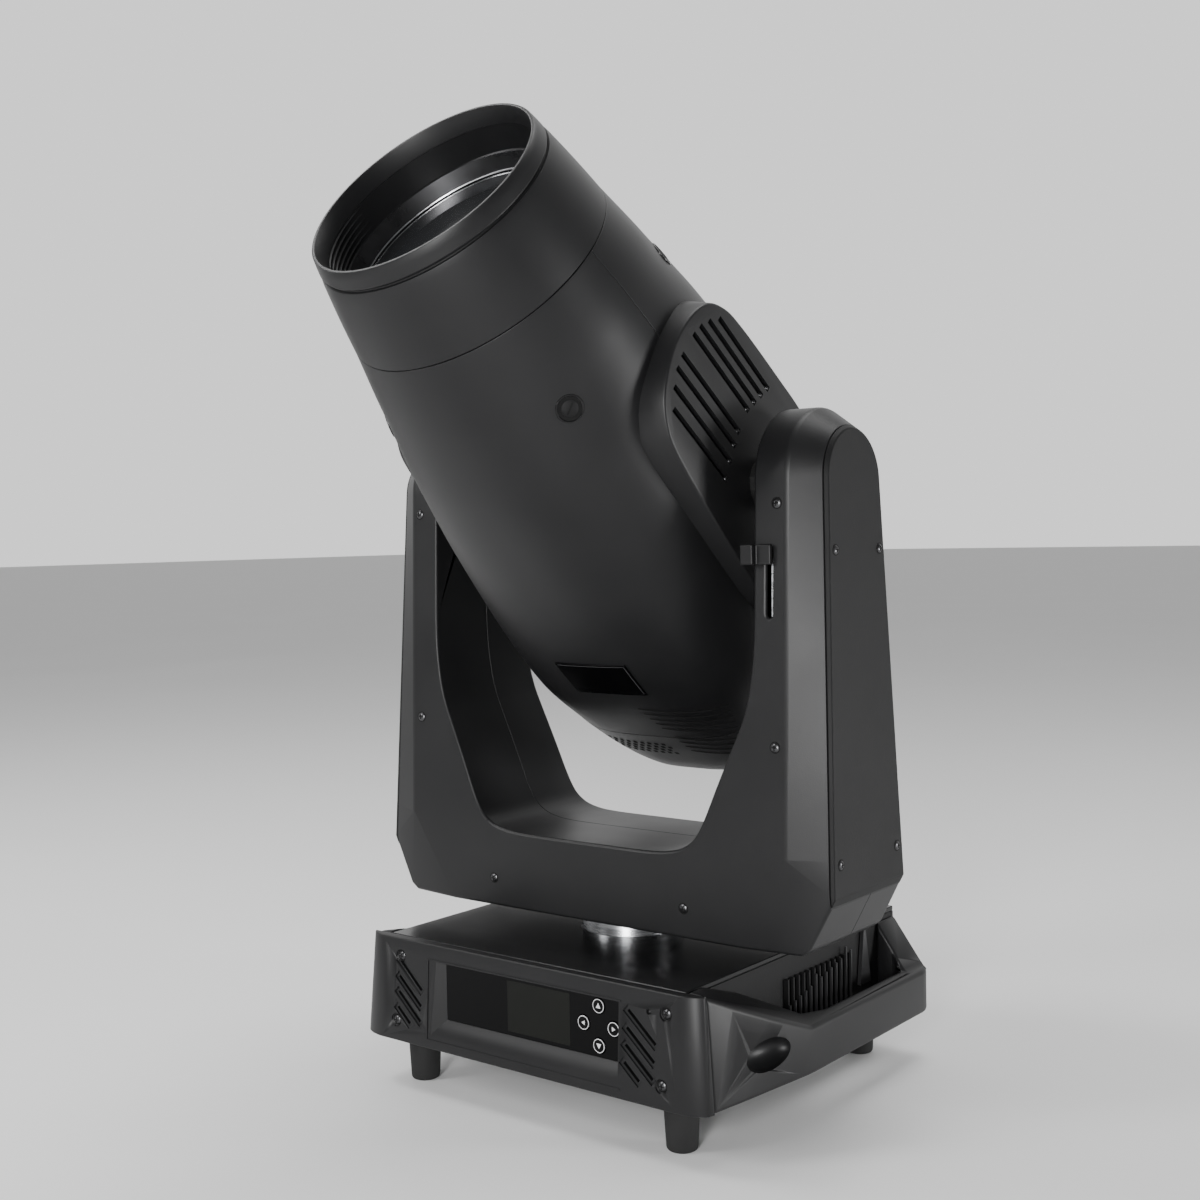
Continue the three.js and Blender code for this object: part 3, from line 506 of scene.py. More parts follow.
def fins():
    """Bright cooling fins in the hand wells, taller towards the back, and a broad tapered one."""
    parts = []
    for side in (-1, 1):
        for i in range(13):
            y = -2 + 8 * i
            top = 42 + 1.9 * i + (6 if i in (5, 11) else 0)
            x0, x1 = sorted((side * 153.6, side * 155.2))
            parts.append(block("fin", (x0, x1), (y + 0.2, y + 1.8), (20, top)))
        shape = ((113, 30), (131, 30), (119.4, 75), (122.6, 75))
        parts.append(hull("wedge", [(side * x, y, z) for x in (150.2, 153.4) for y, z in shape]))
    made_object("side_fins", joined("fins", parts), FINS, "base")


def display():
    """The gloss window with its lit panel, and four keys with a ring and an arrow each."""
    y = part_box("display_window")[0].y / MM
    window = refined("display_window", "display_glass", "base", GLOSS, 0.35, 2)
    window.modifiers["edges"].angle_limit = math.radians(50)
    lcd = block("lcd", (-17, 46), (y - 0.12, y - 0.02), (27, 67))
    made_object("lcd_panel", lcd, SCREEN, "base")
    turns = {"up": 0, "left": 90, "down": 180, "right": 270}
    for key, angle in turns.items():
        node = "key_" + key
        lo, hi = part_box(node)
        x, z = (lo.x + hi.x) / 2 / MM, (lo.z + hi.z) / 2 / MM
        face = lo.y / MM
        place = at(x, face, z, (0, -1, 0))
        cap = [(0, -0.05), (4.9, -0.05), (5.5, -0.2), (5.8, -0.7), (5.8, -2.8), (0, -2.8)]
        mesh = lathe(node, cap, 64, place=place)
        button = made_object(node + "_cap", mesh, GLOSS, node + "_body")
        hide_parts(node)
        ring = lathe("ring", [(4.75, 0.06), (5.25, 0.0), (5.25, -0.3), (4.75, -0.3)], 64, True, place)
        size = 1.0 if key in ("up", "down") else 0.8
        tip = ((0, 2.3 * size), (-2.2 * size, -1.6 * size), (2.2 * size, -1.6 * size))
        arrow = hull("arrow", [(a, b, c) for a, b in tip for c in (-0.2, 0.08)])
        upright = Matrix.Rotation(math.radians(90), 4, "X")
        arrow.transform(Matrix.Translation((x * MM, face * MM, z * MM)) @ upright)
        centre = Matrix.Translation((x * MM, 0, z * MM))
        arrow.transform(centre @ Matrix.Rotation(math.radians(-angle), 4, "Y") @ centre.inverted())
        icon = joined("icon", [ring, arrow])
        made_object(node + "_icon", icon, MARK, node + "_body")


def handle(side):
    """A carry handle: a sloping rim around a hand well, with an oval dimple in front."""
    outline = [(150.3, -133.7), (172.5, -133.7), (177, -103), (180, -74), (185.5, -34), (187, -18)]
    outline += [(187, 160), (186.3, 166), (184.5, 171), (181.8, 175), (178, 177.5), (150.3, 178)]
    well = [(149, -76), (165, -6), (169, 0), (171.5, 8), (173.4, 14), (174, 20), (174, 136)]
    well += [(173.3, 140), (171.5, 143), (168, 145.3), (149, 146)]

    def under(name, right, front, rear, height):
        """What lies below a sloping top, between two depths."""
        spots = [(145, front), (right, front), (right, rear), (145, rear)]
        return hull(name, [(x, y, z) for x, y in spots for z in (-1, height(x, y))])

    def drawn_in(x, y):
        """The outline at the top, which is narrower towards the front."""
        return x - (6 * min(1, max(0, (-y - 10) / 124)) if x > 151 else 0)

    top = [(drawn_in(x, y), y, BASE_TOP) for x, y in outline]
    solid = hull("block", [(x, y, 0) for x, y in outline] + top)
    ramp = under("ramp", 190, -140, -6, lambda x, y: 120.4 - 0.492 * x - 0.329 * y)
    back = under("back", 183, 143, 185, lambda x, y: 78.6 - 1.36 * (x - 149))
    rim = under("rim", 190, -140, 185, lambda x, y: 39 - 0.25 * (x - 174))
    form = combined(combined(ramp, [back, rim], "UNION"), [solid], "INTERSECT")
    hollow = hull("hollow", [(x, y, z) for x, y in well for z in (-2, 90)])
    form = combined(form, [hollow])
    merged(form, 1e-5, 1)
    form = baked(form, lambda obj: bevelled(obj, 3.0, 4, 24, False))
    bm = bmesh.new()
    bmesh.ops.create_uvsphere(bm, u_segments=72, v_segments=36, radius=MM)
    dimple = bpy.data.meshes.new("dimple")
    bm.to_mesh(dimple)
    bm.free()
    turned = Matrix.Translation(Vector((180.5, -73, 28)) * MM) @ Matrix.Rotation(math.radians(-7.5), 4, "Z")
    dimple.transform(turned @ Matrix.Diagonal((15, 25, 12, 1)))
    form = combined(form, [dimple])
    if side < 0:
        mirror(form)
    smooth(form, 34)
    name = "right" if side > 0 else "left"
    obj = made_object(f"handle_{name}_shell", form, PLASTIC, "base")
    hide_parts("handle_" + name)


def rear_parts():
    """Sockets, a blank rating plate and screws on the rear panel."""
    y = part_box("rear_panel")[1].y / MM
    back = (0, 1, 0)
    place = at(72, y, 40, back)
    profile = [(0, -4), (8.5, -4), (8.5, 1.6), (9.2, 2), (11.6, 2), (12, 1.4), (12, -3)]
    socket = lathe("socket", profile, 64, place=place)
    made_object("data_socket_out", socket, STEEL, "base")
    pins = []
    for x in (30, 72):
        for i in range(5):
            a = math.pi * (0.15 + 0.175 * i)
            spot = at(x + 5 * math.cos(a), y - 6, 40 - 5 * math.sin(a), back)
            pins.append(pillar("pin", 0.8, 0, 5, spot, 16))
    made_object("socket_pins", joined("pins", pins), STEEL, "base")
    blades = [block("blade", x, (y - 9, y - 1), (33, 41)) for x in ((-71, -69), (-59, -57))]
    made_object("inlet_blades", joined("blades", blades), STEEL, "base")
    plate = block("rating", (-30, 8), (y, y + 0.25), (56, 74))
    made_object("rating_plate", plate, STEEL, "base")
    corners = [(x, z) for x in (-142, 142) for z in (8, 72)] + [(0, 8), (0, 76)]
    screws("rear_screws", "base", [at(x, y, z, back) for x, z in corners], 3.2, 1.2)


# ---- yoke ----
CORNER_Z = 144  # the level where the yoke is widest
FOOT_Z = 172  # where the arms stand on the crossbar
ARM_X, CORNER_X = 217, 226  # an arm's outer side at the tilt axis and at the corner
SHOULDER_X = 191  # how far out an arm's flat front face goes
FACE_TOP, FACE_FOOT = 55, 64  # half the yoke's depth there, at the tilt axis and at the crossbar
SIDE_TOP, SIDE_CORNER = 38, 53  # and at the arm's outer side, at the tilt axis and at the corner


def arm_x(z):
    """The outer side of an arm, which leans out on its way down."""
    return ARM_X - (z - PIVOT_Z) * (CORNER_X - ARM_X) / (PIVOT_Z - CORNER_Z)


def face_depth(z):
    """The front face of an arm, which comes forward on its way down."""
    return FACE_TOP + (FACE_FOOT - FACE_TOP) * min(1, max(0, (PIVOT_Z - z) / (PIVOT_Z - FOOT_Z)))


def side_depth(z):
    """The edge of an arm's outer side."""
    return SIDE_CORNER - (SIDE_CORNER - SIDE_TOP) * (z - CORNER_Z) / (PIVOT_Z - CORNER_Z)


def yoke_form(inset, steps, levels):
    """The yoke's outer form without its throat, drawn in by the inset."""
    t = inset
    plate = t - 1.5 if t > 0 else 0

    def plate_x(z):
        return arm_x(z) - plate

    def station(side, face, low, high):
        inner, outer = SHOULDER_X - t / 2, plate_x(low)
        return [(-outer, side, low), (-inner, face, high), (inner, face, high), (outer, side, low)]

    front = []
    for k in range(levels + 1):
        z = FOOT_Z + (PIVOT_Z - FOOT_Z) * k / levels
        face = FACE_FOOT - (FACE_FOOT - FACE_TOP) * k / levels - t
        front.append(station(-(side_depth(z) - t / 2), -face, z, z))
    top = []
    for i in range(1, steps):
        c, d = math.cos(math.pi * i / steps), math.sin(math.pi * i / steps)
        near, far = SIDE_TOP - t / 2, FACE_TOP - t
        top.append(station(-near * c, -far * c, PIVOT_Z + near * d, PIVOT_Z + far * d))
    back = [[(x, -y, z) for x, y, z in row] for row in reversed(front)]
    rows = front + top + back
    verts = [p for row in rows for p in row]
    corners = [4 * i + j for i in range(len(rows) - 1) for j in range(3)]
    faces = [(k, k + 1, k + 5, k + 4) for k in corners]
    faces += [tuple(4 * i + j for i in range(len(rows))) for j in (0, 3)]
    arms = build("arms", verts, faces)
    low = [
        (SHOULDER_X - t / 2, FACE_FOOT - t, FOOT_Z),
        (plate_x(FOOT_Z), side_depth(FOOT_Z) - t / 2, FOOT_Z),
        (plate_x(CORNER_Z), SIDE_CORNER - t / 2, CORNER_Z),
        (146, FACE_FOOT - t, 140), (146, 61 - t, 99 + t),
        (198 - t, 55 - t, 99 + t), (205 - t, 55 - t, 104 + t),
    ]
    bar = hull("bar", [(sx * x, sy * y, z) for x, y, z in low for sx in (-1, 1) for sy in (-1, 1)])
    bm = bmesh.new()
    bm.from_mesh(bar)
    lid = [f for f in bm.faces if all(abs(v.co.z - FOOT_Z * MM) < 1e-6 for v in f.verts)]
    bmesh.ops.delete(bm, geom=lid, context="FACES")
    bm.from_mesh(arms)
    bmesh.ops.remove_doubles(bm, verts=bm.verts, dist=1e-5)
    bmesh.ops.triangulate(bm, faces=bm.faces)
    bmesh.ops.recalc_face_normals(bm, faces=bm.faces)
    bm.to_mesh(arms)
    bm.free()
    return arms


def throat(grow=0.0):
    """The opening between the arms, with rounded lower corners, as a block along Y."""
    right = [(163, 292), (132.5, 226), (117, 190), (108, 176), (95, 168), (72, 164)]
    path = [(163, 600), (163, 420)] + right + [(0, 164)]
    for _ in range(3):  # each round cuts the corners off
        finer = [path[0], path[1]]
        for p, q in zip(path[1:], path[2:]):
            finer.append((p[0] * 0.78 + q[0] * 0.22, p[1] * 0.78 + q[1] * 0.22))
            finer.append((p[0] * 0.22 + q[0] * 0.78, p[1] * 0.22 + q[1] * 0.78))
        path = finer + [path[-1]]
    path = [p for i, p in enumerate(path) if i == 0 or math.dist(p, path[i - 1]) > 0.4]
    moved = []
    for i, p in enumerate(path):
        q = Vector(path[min(i + 1, len(path) - 1)]) - Vector(path[max(i - 1, 0)])
        off = Vector((-q.y, q.x)).normalized() * grow
        moved.append((p[0] + off.x, p[1] + off.y))
    ring = moved + [(-x, z) for x, z in reversed(moved[:-1])]
    size = len(ring)
    verts = [(x, y, z) for y in (-90, 90) for x, z in ring]
    faces = [tuple(range(size)), tuple(range(2 * size - 1, size - 1, -1))]
    faces += [(i, size + i, size + (i + 1) % size, (i + 1) % size) for i in range(size)]
    return build("throat", verts, faces)


def between_plates(depth, y0, y1):
    """Everything further in than depth from the arms' outer sides."""
    points = []
    for z in (50, 600):
        x = arm_x(z) - depth
        points += [(s * x, y, z) for s in (-1, 1) for y in (y0, y1)]
    return hull("between", points)


def soft_edges(mesh, name, material, body, wide, narrow, is_seam):
    """Rounds the outer edges more than the edges at seams."""
    bm = bmesh.new()
    bm.from_mesh(mesh)
    bmesh.ops.remove_doubles(bm, verts=bm.verts, dist=1e-5)
    flat = math.radians(0.3)
    bmesh.ops.dissolve_limit(
        bm, angle_limit=flat, verts=bm.verts, edges=bm.edges, delimit={"NORMAL"}
    )
    layer = bm.edges.layers.float.new("bevel_weight_edge")
    for edge in bm.edges:
        if len(edge.link_faces) == 2 and edge.calc_face_angle(0) > math.radians(15):
            seam = any(is_seam(f) for f in edge.link_faces)
            edge[layer] = narrow / wide if seam else 1.0
    bm.to_mesh(mesh)
    bm.free()
    obj = made_object(name, mesh, material, body)
    bevelled(obj, wide, 3, 30, False)
    obj.modifiers["edges"].limit_method = "WEIGHT"
    smooth(obj.data, 22)
    return obj


def yoke():
    """Two half shells split across the depth, a plate on either side, and what shows inside."""
    outer = yoke_form(0, 32, 14)
    inner = combined(yoke_form(4, 16, 4), [throat(4)])
    slot = block("slot", (174.2, 178.8), (-80, -49), (348, 400))
    hub = pillar("hub", 43.5, 90, 110)
    axle = pillar("axle", 23, -171, 171, at(0, 0, PIVOT_Z, (1, 0, 0)))
    shell = outer
    for tool in (throat(), inner, hub, axle, slot):
        shell = combined(shell, [tool])

    def seam(face):
        middle, normal = face.calc_center_median() / MM, face.normal
        at_split = abs(normal.y) > 0.9 and abs(middle.y - 6) < 3
        at_plate = abs(normal.x) > 0.9 and abs(middle.x) > 208
        inside = abs(middle.y) < 53 and 104 < middle.z < 460 and abs(normal.y) > 0.9
        return at_split or at_plate or inside

    halves = [("front", "yoke_front_cover", -100, 5.85), ("rear", "yoke_rear_cover", 6.15, 100)]
    for name, node, low, high in halves:
        half = combined(shell.copy(), [between_plates(4, low, high)], "INTERSECT")
        obj = soft_edges(half, "yoke_" + name, YOKE, "yoke", 2.2, 0.45, seam)
        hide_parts(node)
    plates = combined(outer, [between_plates(3.7, -120, 120)])
    for side, name in ((-1, "left"), (1, "right")):
        keep = block("keep", sorted((0, side * 300)), (-120, 120), (0, 600))
        plate = combined(plates.copy(), [keep], "INTERSECT")
        obj = soft_edges(plate, "side_plate_" + name, COAT, "yoke", 0.9, 0.5, lambda f: False)
        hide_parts("arm_cover_" + name)
    refined("tilt_lock_slider", "tilt_lock_tab", "lock_tab", PLASTIC, 1.2, 4)
    paint(COAT, "yoke_frame", "pan_motor", "tilt_motor")
    paint(CAST, "pan_motor_pulley", "tilt_motor_pulley")
    paint(RUBBER, "pan_belt", "tilt_belt")
    paint(STEEL, "tilt_bearing_left", "tilt_bearing_right")
    yoke_screws()
    corners = []
    for z in (349, 391):
        face = -face_depth(z)
        corners += [(x, y, z) for x in (179.0, 180.2) for y in (face - 0.15, face + 0.5)]
    strip = hull("strip", corners)
    made_object("tilt_lock_plate", strip, BRIGHT, "yoke")
    # Painted shade: a near-black sheet at the back of the tilt lock's slot, where the channel falls into
    # shade.
    back = block("channel", (174.4, 178.6), (-50.6, -49.2), (348.4, 399.6))
    made_object("tilt_lock_channel_shade", back, SHADE, "yoke")


def yoke_screws():
    side = []
    for z, half in ((397, 33), (168, 43)):
        side += [(s * (arm_x(z) + 0.1), w * half, z) for s in (-1, 1) for w in (-1, 1)]
    places = [at(*p, axis=(math.copysign(1, p[0]), 0, 0.0295)) for p in side]
    screws("side_plate_screws", "yoke", places, 3.4, 1.3)
    spots = [(183, 432), (182, 253), (-183, 432), (-181, 255), (-98, 123), (98, 123)]
    faces = []
    for s in (-1, 1):
        for x, z in spots:
            on_arm = z > FOOT_Z
            depth = face_depth(z) if on_arm else FACE_FOOT - 3 * (140 - z) / 41
            faces.append(at(x, s * (depth + 0.05), z, axis=(0, s, 0.03 if on_arm else -0.08)))
    screws("yoke_screws", "yoke", faces, 3.6, 1.3)


# ---- head ----
def monotone(sections, s, key):
    """Smooth value of a section's key between its neighbours, with no overshoot."""
    for i in range(len(sections) - 1):
        p, q = sections[i], sections[i + 1]
        if s <= q["s"] or i == len(sections) - 2:
            break

    def chord(k):
        u, v = sections[k], sections[k + 1]
        return (v[key] - u[key]) / (v["s"] - u["s"])

    def slope(k):
        if k <= 0 or k >= len(sections) - 1:
            return chord(0 if k <= 0 else len(sections) - 2)
        a, b = chord(k - 1), chord(k)
        return 0 if a * b <= 0 else 2 * a * b / (a + b)

    span = q["s"] - p["s"]
    t = (s - p["s"]) / span
    m0, m1 = slope(i) * span, slope(i + 1) * span
    return (
        p[key] * (2 * t**3 - 3 * t**2 + 1)
        + m0 * (t**3 - 2 * t**2 + t)
        + q[key] * (3 * t**2 - 2 * t**3)
        + m1 * (t**3 - t**2)
    )


def loop(sections, s, count, grow=0.0, start=0.0, sweep=2 * math.pi):
    """Points spaced evenly round a rounded section, or round part of it."""
    a, b, n = (monotone(sections, s, k) for k in ("a", "b", "n"))
    dense = []
    for i in range(721):
        t = start + sweep * i / 720
        c, d = math.cos(t), math.sin(t)
        x = (a + grow) * math.copysign(abs(c) ** (2 / n), c)
        y = (b + grow) * math.copysign(abs(d) ** (2 / n), d)
        dense.append((x, y))
    run = [0.0]
    for p, q in zip(dense, dense[1:]):
        run.append(run[-1] + math.dist(p, q))
    full = abs(sweep - 2 * math.pi) < 1e-6
    steps = count if full else count - 1
    points, k = [], 0
    for i in range(count):
        want = run[-1] * i / steps
        while k < 719 and run[k + 1] < want:
            k += 1
        f = (want - run[k]) / max(run[k + 1] - run[k], 1e-9)
        points.append(tuple(u + (v - u) * f for u, v in zip(dense[k], dense[k + 1])))
    return points


def grid(rows, closed):
    """Vertices and faces of a sheet through rows of points."""
    size = len(rows[0])
    faces = []
    for i in range(len(rows) - 1):
        for j in range(size if closed else size - 1):
            k = (j + 1) % size
            faces.append((i * size + j, i * size + k, (i + 1) * size + k, (i + 1) * size + j))
    return [p for row in rows for p in row], faces


# Stations s along the lens axis, each with its half width a, half height b and roundness n.
TAIL_END, SEAM, BARREL_END = -246, -168, 236
SECTIONS = [
    {"s": SEAM, "a": 115, "b": 131, "n": 3.6},
    {"s": -110, "a": 124, "b": 139, "n": 3.5},
    {"s": -60, "a": 125, "b": 141, "n": 3.2},
    {"s": 40, "a": 126, "b": 136, "n": 2.7},
    {"s": 113, "a": 125, "b": 130, "n": 2.3},
    {"s": 185, "a": 118, "b": 119, "n": 2.05},
    {"s": BARREL_END, "a": 108.7, "b": 108.7, "n": 2},
]
TAIL = [
    {"s": TAIL_END, "a": 70, "b": 106, "n": 3.4},
    {"s": -236, "a": 84, "b": 116, "n": 3.5},
    {"s": -200, "a": 106, "b": 125, "n": 3.6},
    {"s": -168.3, "a": 115, "b": 131, "n": 3.6},
]


def half_cover(name, node, side):
    """One half of the moulded barrel: side -1 is the half nearer the display."""
    start = math.pi if side < 0 else 0
    rows = []
    for i in range(61):
        s = SEAM + (BARREL_END - SEAM) * i / 60
        arc = loop(SECTIONS, s, 97, 0, start, math.pi)
        rows.append([(x, side * max(side * y, 0.15), s) for x, y in arc])
    verts, faces = grid(rows, False)
    mesh = build(name, verts, faces, HEAD)
    obj = made_object(name, mesh, PLASTIC, "head")
    toward = mesh.polygons[len(mesh.polygons) // 2]
    walled(obj, 3, toward.normal.dot(toward.center - TILT) > 0)
    bevelled(obj, 0.55, 3, 50)
    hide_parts(node)


def head_covers():
    """The barrel's two halves, and the tail with a row of slots in its end."""
    half_cover("barrel_front", "head_front_cover", -1)
    half_cover("barrel_rear", "head_rear_cover", 1)
    size, rows = 160, []
    for i in range(25):
        s = TAIL_END + 77.7 * (i / 24) ** 1.5
        rows.append([(x, y, s) for x, y in loop(TAIL, s, size)])
    first = [(x * 0.985, y * 0.985, TAIL_END - 0.6) for x, y, _ in rows[0]]
    rows.insert(0, first)
    for s in (-168.3, -185, -205, -225, -240):
        rows.append([(x, y, s) for x, y in loop(TAIL, max(s, -242), size, -4)])
    verts, faces = grid(rows, True)
    faces.append(tuple(range(size)))
    faces.append(tuple(len(verts) - 1 - i for i in range(size)))
    mesh = build("tail", verts, faces, HEAD)
    cutters = []
    for i in range(9):
        x = -48 + 12 * i
        cutter = block("cut", (x - 2.2, x + 2.2), (-70, 70), (-252, -236))
        cutter.transform(HEAD)
        cutters.append(cutter)
    tail = combined(mesh, [joined("cuts", cutters)])
    smooth(tail, 34)
    obj = made_object("tail_cover", tail, PLASTIC, "head")
    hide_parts("rear_cap")


def surface_point(x, s, side, sections, lift):
    """A point on the head's front (-1) or back (+1), and its outward direction, in the head frame."""
    def depth(u, v):
        a, b, n = (monotone(sections, v, k) for k in ("a", "b", "n"))
        return side * b * (1 - min(abs(u) / a, 0.999) ** n) ** (1 / n)

    here = Vector((x, depth(x, s), s))
    along = Vector((0, depth(x, s + 1) - depth(x, s - 1), 2))
    across = Vector((2, depth(x + 1, s) - depth(x - 1, s), 0))
    normal = along.cross(across).normalized()
    if normal.y * side < 0:
        normal = -normal
    return here + normal * lift, normal


def strips(name, lines, width, sections, side, material, lift):
    """Thin marks of painted shade or painted highlight lying on the head, each from one (x, s) to another.

    Without sections, each point takes the barrel's or the tail's.
    """
    verts, faces = [], []
    for (x0, s0), (x1, s1) in lines:
        run = Vector((x1 - x0, s1 - s0)).normalized()
        off = Vector((-run.y, run.x)) * width / 2
        base_index = len(verts)
        for i in range(13):
            t = i / 12
            x, s = x0 + (x1 - x0) * t, s0 + (s1 - s0) * t
            pinch = 0.55 if i in (0, 12) else 1
            skin = sections or (SECTIONS if s > SEAM else TAIL)
            for sign in (-1, 1):
                u, v = x + sign * off.x * pinch, s + sign * off.y * pinch
                verts.append(surface_point(u, v, side, skin, lift)[0])
        for i in range(12):
            p = base_index + 2 * i
            faces.append((p, p + 1, p + 3, p + 2))
    made_object(name, build(name, verts, faces, HEAD), material, "head")


def painted_vent_shade():
    """Painted shade for slanted louvres from the barrel's end into the tail, none across the seam, and for
    small holes: near-black strips lying on the surface.
    """
    lines = []
    for i in range(10):
        s = -118 - 8.2 * i
        if not SEAM < s - 7 < SEAM + 10:
            lines.append(((16 + i, s), (92 - 2 * i, s - 11)))
    dots = []
    for row in range(4):
        for i in range(9):
            x = -60 + 7.6 * i + (3.8 if row % 2 else 0)
            s = -184 - 5.6 * row
            dots.append(((x, s - 1.9), (x, s + 1.9)))
    # Each mark is painted shade: a near-black strip standing for the shaded inside of a slot or hole.
    for part, marks, width, sections in (("louvre_shade", lines, 2.6, None), ("hole_shade", dots, 4.2, TAIL)):
        for side, name in ((-1, "front"), (1, "back")):
            strips(f"{name}_{part}", marks, width, sections, side, SHADE, 0.2)


def cover_screws():
    """Four quarter-turn screws in cups, that hold the barrel's halves, with painted shade in their slots
    and in the gap round each head.
    """
    cup = [(10.6, 0.1), (10.3, 0.55), (9.6, 0.6), (9.0, 0.1), (8.8, -2), (10.6, -2)]
    drum = [(0, 0.5), (5.4, 0.5), (6.1, 0.1), (6.2, -0.6), (6.2, -2), (0, -2)]
    gap = [(6.2, 0.12), (8.9, 0.12), (8.9, -1), (6.2, -1)]
    cups, drums, slots = [], [], []
    for x, side in [(x, side) for x in (-88, 88) for side in (-1, 1)]:
        point, normal = surface_point(x * 1.03, 166, side, SECTIONS, 0)
        place = HEAD @ at(*point, axis=normal)
        cups.append(lathe("cup", cup, 64, True, place))
        drums.append(lathe("drum", drum, 64, place=place))
        # Painted shade: a near-black bar for each slot and a near-black ring for the gap between head and
        # cup.
        slot = block("slot", (-4.6, 4.6), (-0.7, 0.7), (0.1, 0.62))
        slot.transform(place @ Matrix.Rotation(0.6, 4, "Z"))
        slots.append(slot)
        slots.append(lathe("gap", gap, 48, True, place))
    made_object("cover_screw_cups", joined("cups", cups), TOP, "head")
    made_object("cover_screw_heads", joined("drums", drums), COAT, "head")
    made_object("cover_screw_shade", joined("slots", slots), SHADE, "head")
    for name in ("cover_screw_cups", "cover_screw_heads"):
        smooth(bpy.data.objects[name].data, 30)


POD = [  # the side pod's outline, as (up the back, along the lens axis)
    (-56, -96), (-24, -116), (20, -119), (58, -102), (80, -65), (87, -10), (82, 40), (73, 100), (65, 127),
    (49, 146), (22, 155), (-10, 154), (-42, 141), (-60, 122), (-68, 98), (-71, 40), (-70, -60),
]
VENTS = [  # its slots, as (up the back, low end, high end)
    (54.7, 42.5, 125), (43.7, 45.5, 133), (32.7, 48.5, 138), (21.7, 51.5, 140),
    (0.3, 49.5, 140), (-11.7, 46.5, 138), (-24.7, 42.5, 131.5), (-37.7, 37.5, 121.5),
]
VENT_SKEW = 0.115  # how much they lean, per millimetre


def pod_outline(inset):
    """The side pod's closed outline, smoothed through its points and drawn in."""
    size, points = len(POD), []
    for i in range(size):
        p0, p1, p2, p3 = (Vector(POD[(i + k) % size]) for k in (-1, 0, 1, 2))
        for j in range(8):
            t = j / 8
            square, cube = 2 * p0 - 5 * p1 + 4 * p2 - p3, 3 * p1 - p0 - 3 * p2 + p3
            points.append(0.5 * (2 * p1 + (p2 - p0) * t + square * t * t + cube * t * t * t))
    drawn = []
    for i, p in enumerate(points):
        run = (points[(i + 1) % len(points)] - points[i - 1]).normalized()
        drawn.append(p + Vector((-run.y, run.x)) * inset)
    return drawn


def pod(side):
    """A side pod: a hollow dish open to the barrel, with slots in its face, a stud in each, and a sheet of
    painted shade behind them.
    """
    name = "right" if side > 0 else "left"
    skin = [(85, 0), (109, 0), (112, 0.15), (124, 2.1), (135.4, 4.1)]
    skin += [(136.3, 4.6), (136.8, 5.3), (137, 6.3)]
    lining = [(133.5, 9), (110, 5), (85, 5)]
    verts, faces = grid([[(x, u, v) for u, v in pod_outline(inset)] for x, inset in skin], True)
    inner, inner_faces = grid([[(x, u, v) for u, v in pod_outline(inset)] for x, inset in lining], True)
    shift, size = len(verts), len(verts) // len(skin)
    verts += inner
    faces.append(tuple(range(shift - size, shift)))
    faces += [tuple(k + shift for k in f) for f in inner_faces]
    faces.append(tuple(range(shift, shift + size)))
    brim = len(verts) - size
    for j in range(size):
        k = (j + 1) % size
        faces.append((j, k, brim + k, brim + j))
    shell = build("pod", verts, faces, HEAD)
    cutters, dots = [], []
    for across, low, high in VENTS:
        skew = VENT_SKEW * (high - low) / 2
        corners = [(across + h + k * skew, v) for v, k in ((low, 1), (high, -1)) for h in (-2.5, 2.5)]
        cutter = hull("vent", [(x, u, v) for u, v in corners for x in (128, 140)])
        cutter.transform(HEAD)
        cutters.append(cutter)
        place = HEAD @ at(135.2, across + skew, low + 1.5, (1, 0, 0))
        dots.append(lathe("dot", [(0, 1.7), (1.0, 1.5), (1.8, 0.7), (2.0, -1)], 20, place=place))
    shell = combined(shell, [joined("cut", cutters)])
    dots = joined("dots", dots)
    # Painted shade: a near-black sheet inside the pod behind the vents, standing for the shade within them.
    pod_shade_sheet = hull("pod_shade_sheet", [(x, u, v) for u, v in pod_outline(12) for x in (127, 129)])
    pod_shade_sheet.transform(HEAD)
    if side < 0:
        for mesh in (shell, dots, pod_shade_sheet):
            mirror(mesh)
    smooth(shell, 34)
    smooth(dots, 60)
    obj = made_object(f"pod_{name}", shell, YOKE, "head")
    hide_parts("side_pod_" + name)
    made_object(f"vent_studs_{name}", dots, DARK_STEEL, "head")
    made_object(f"vent_shade_sheet_{name}", pod_shade_sheet, SHADE, "head")


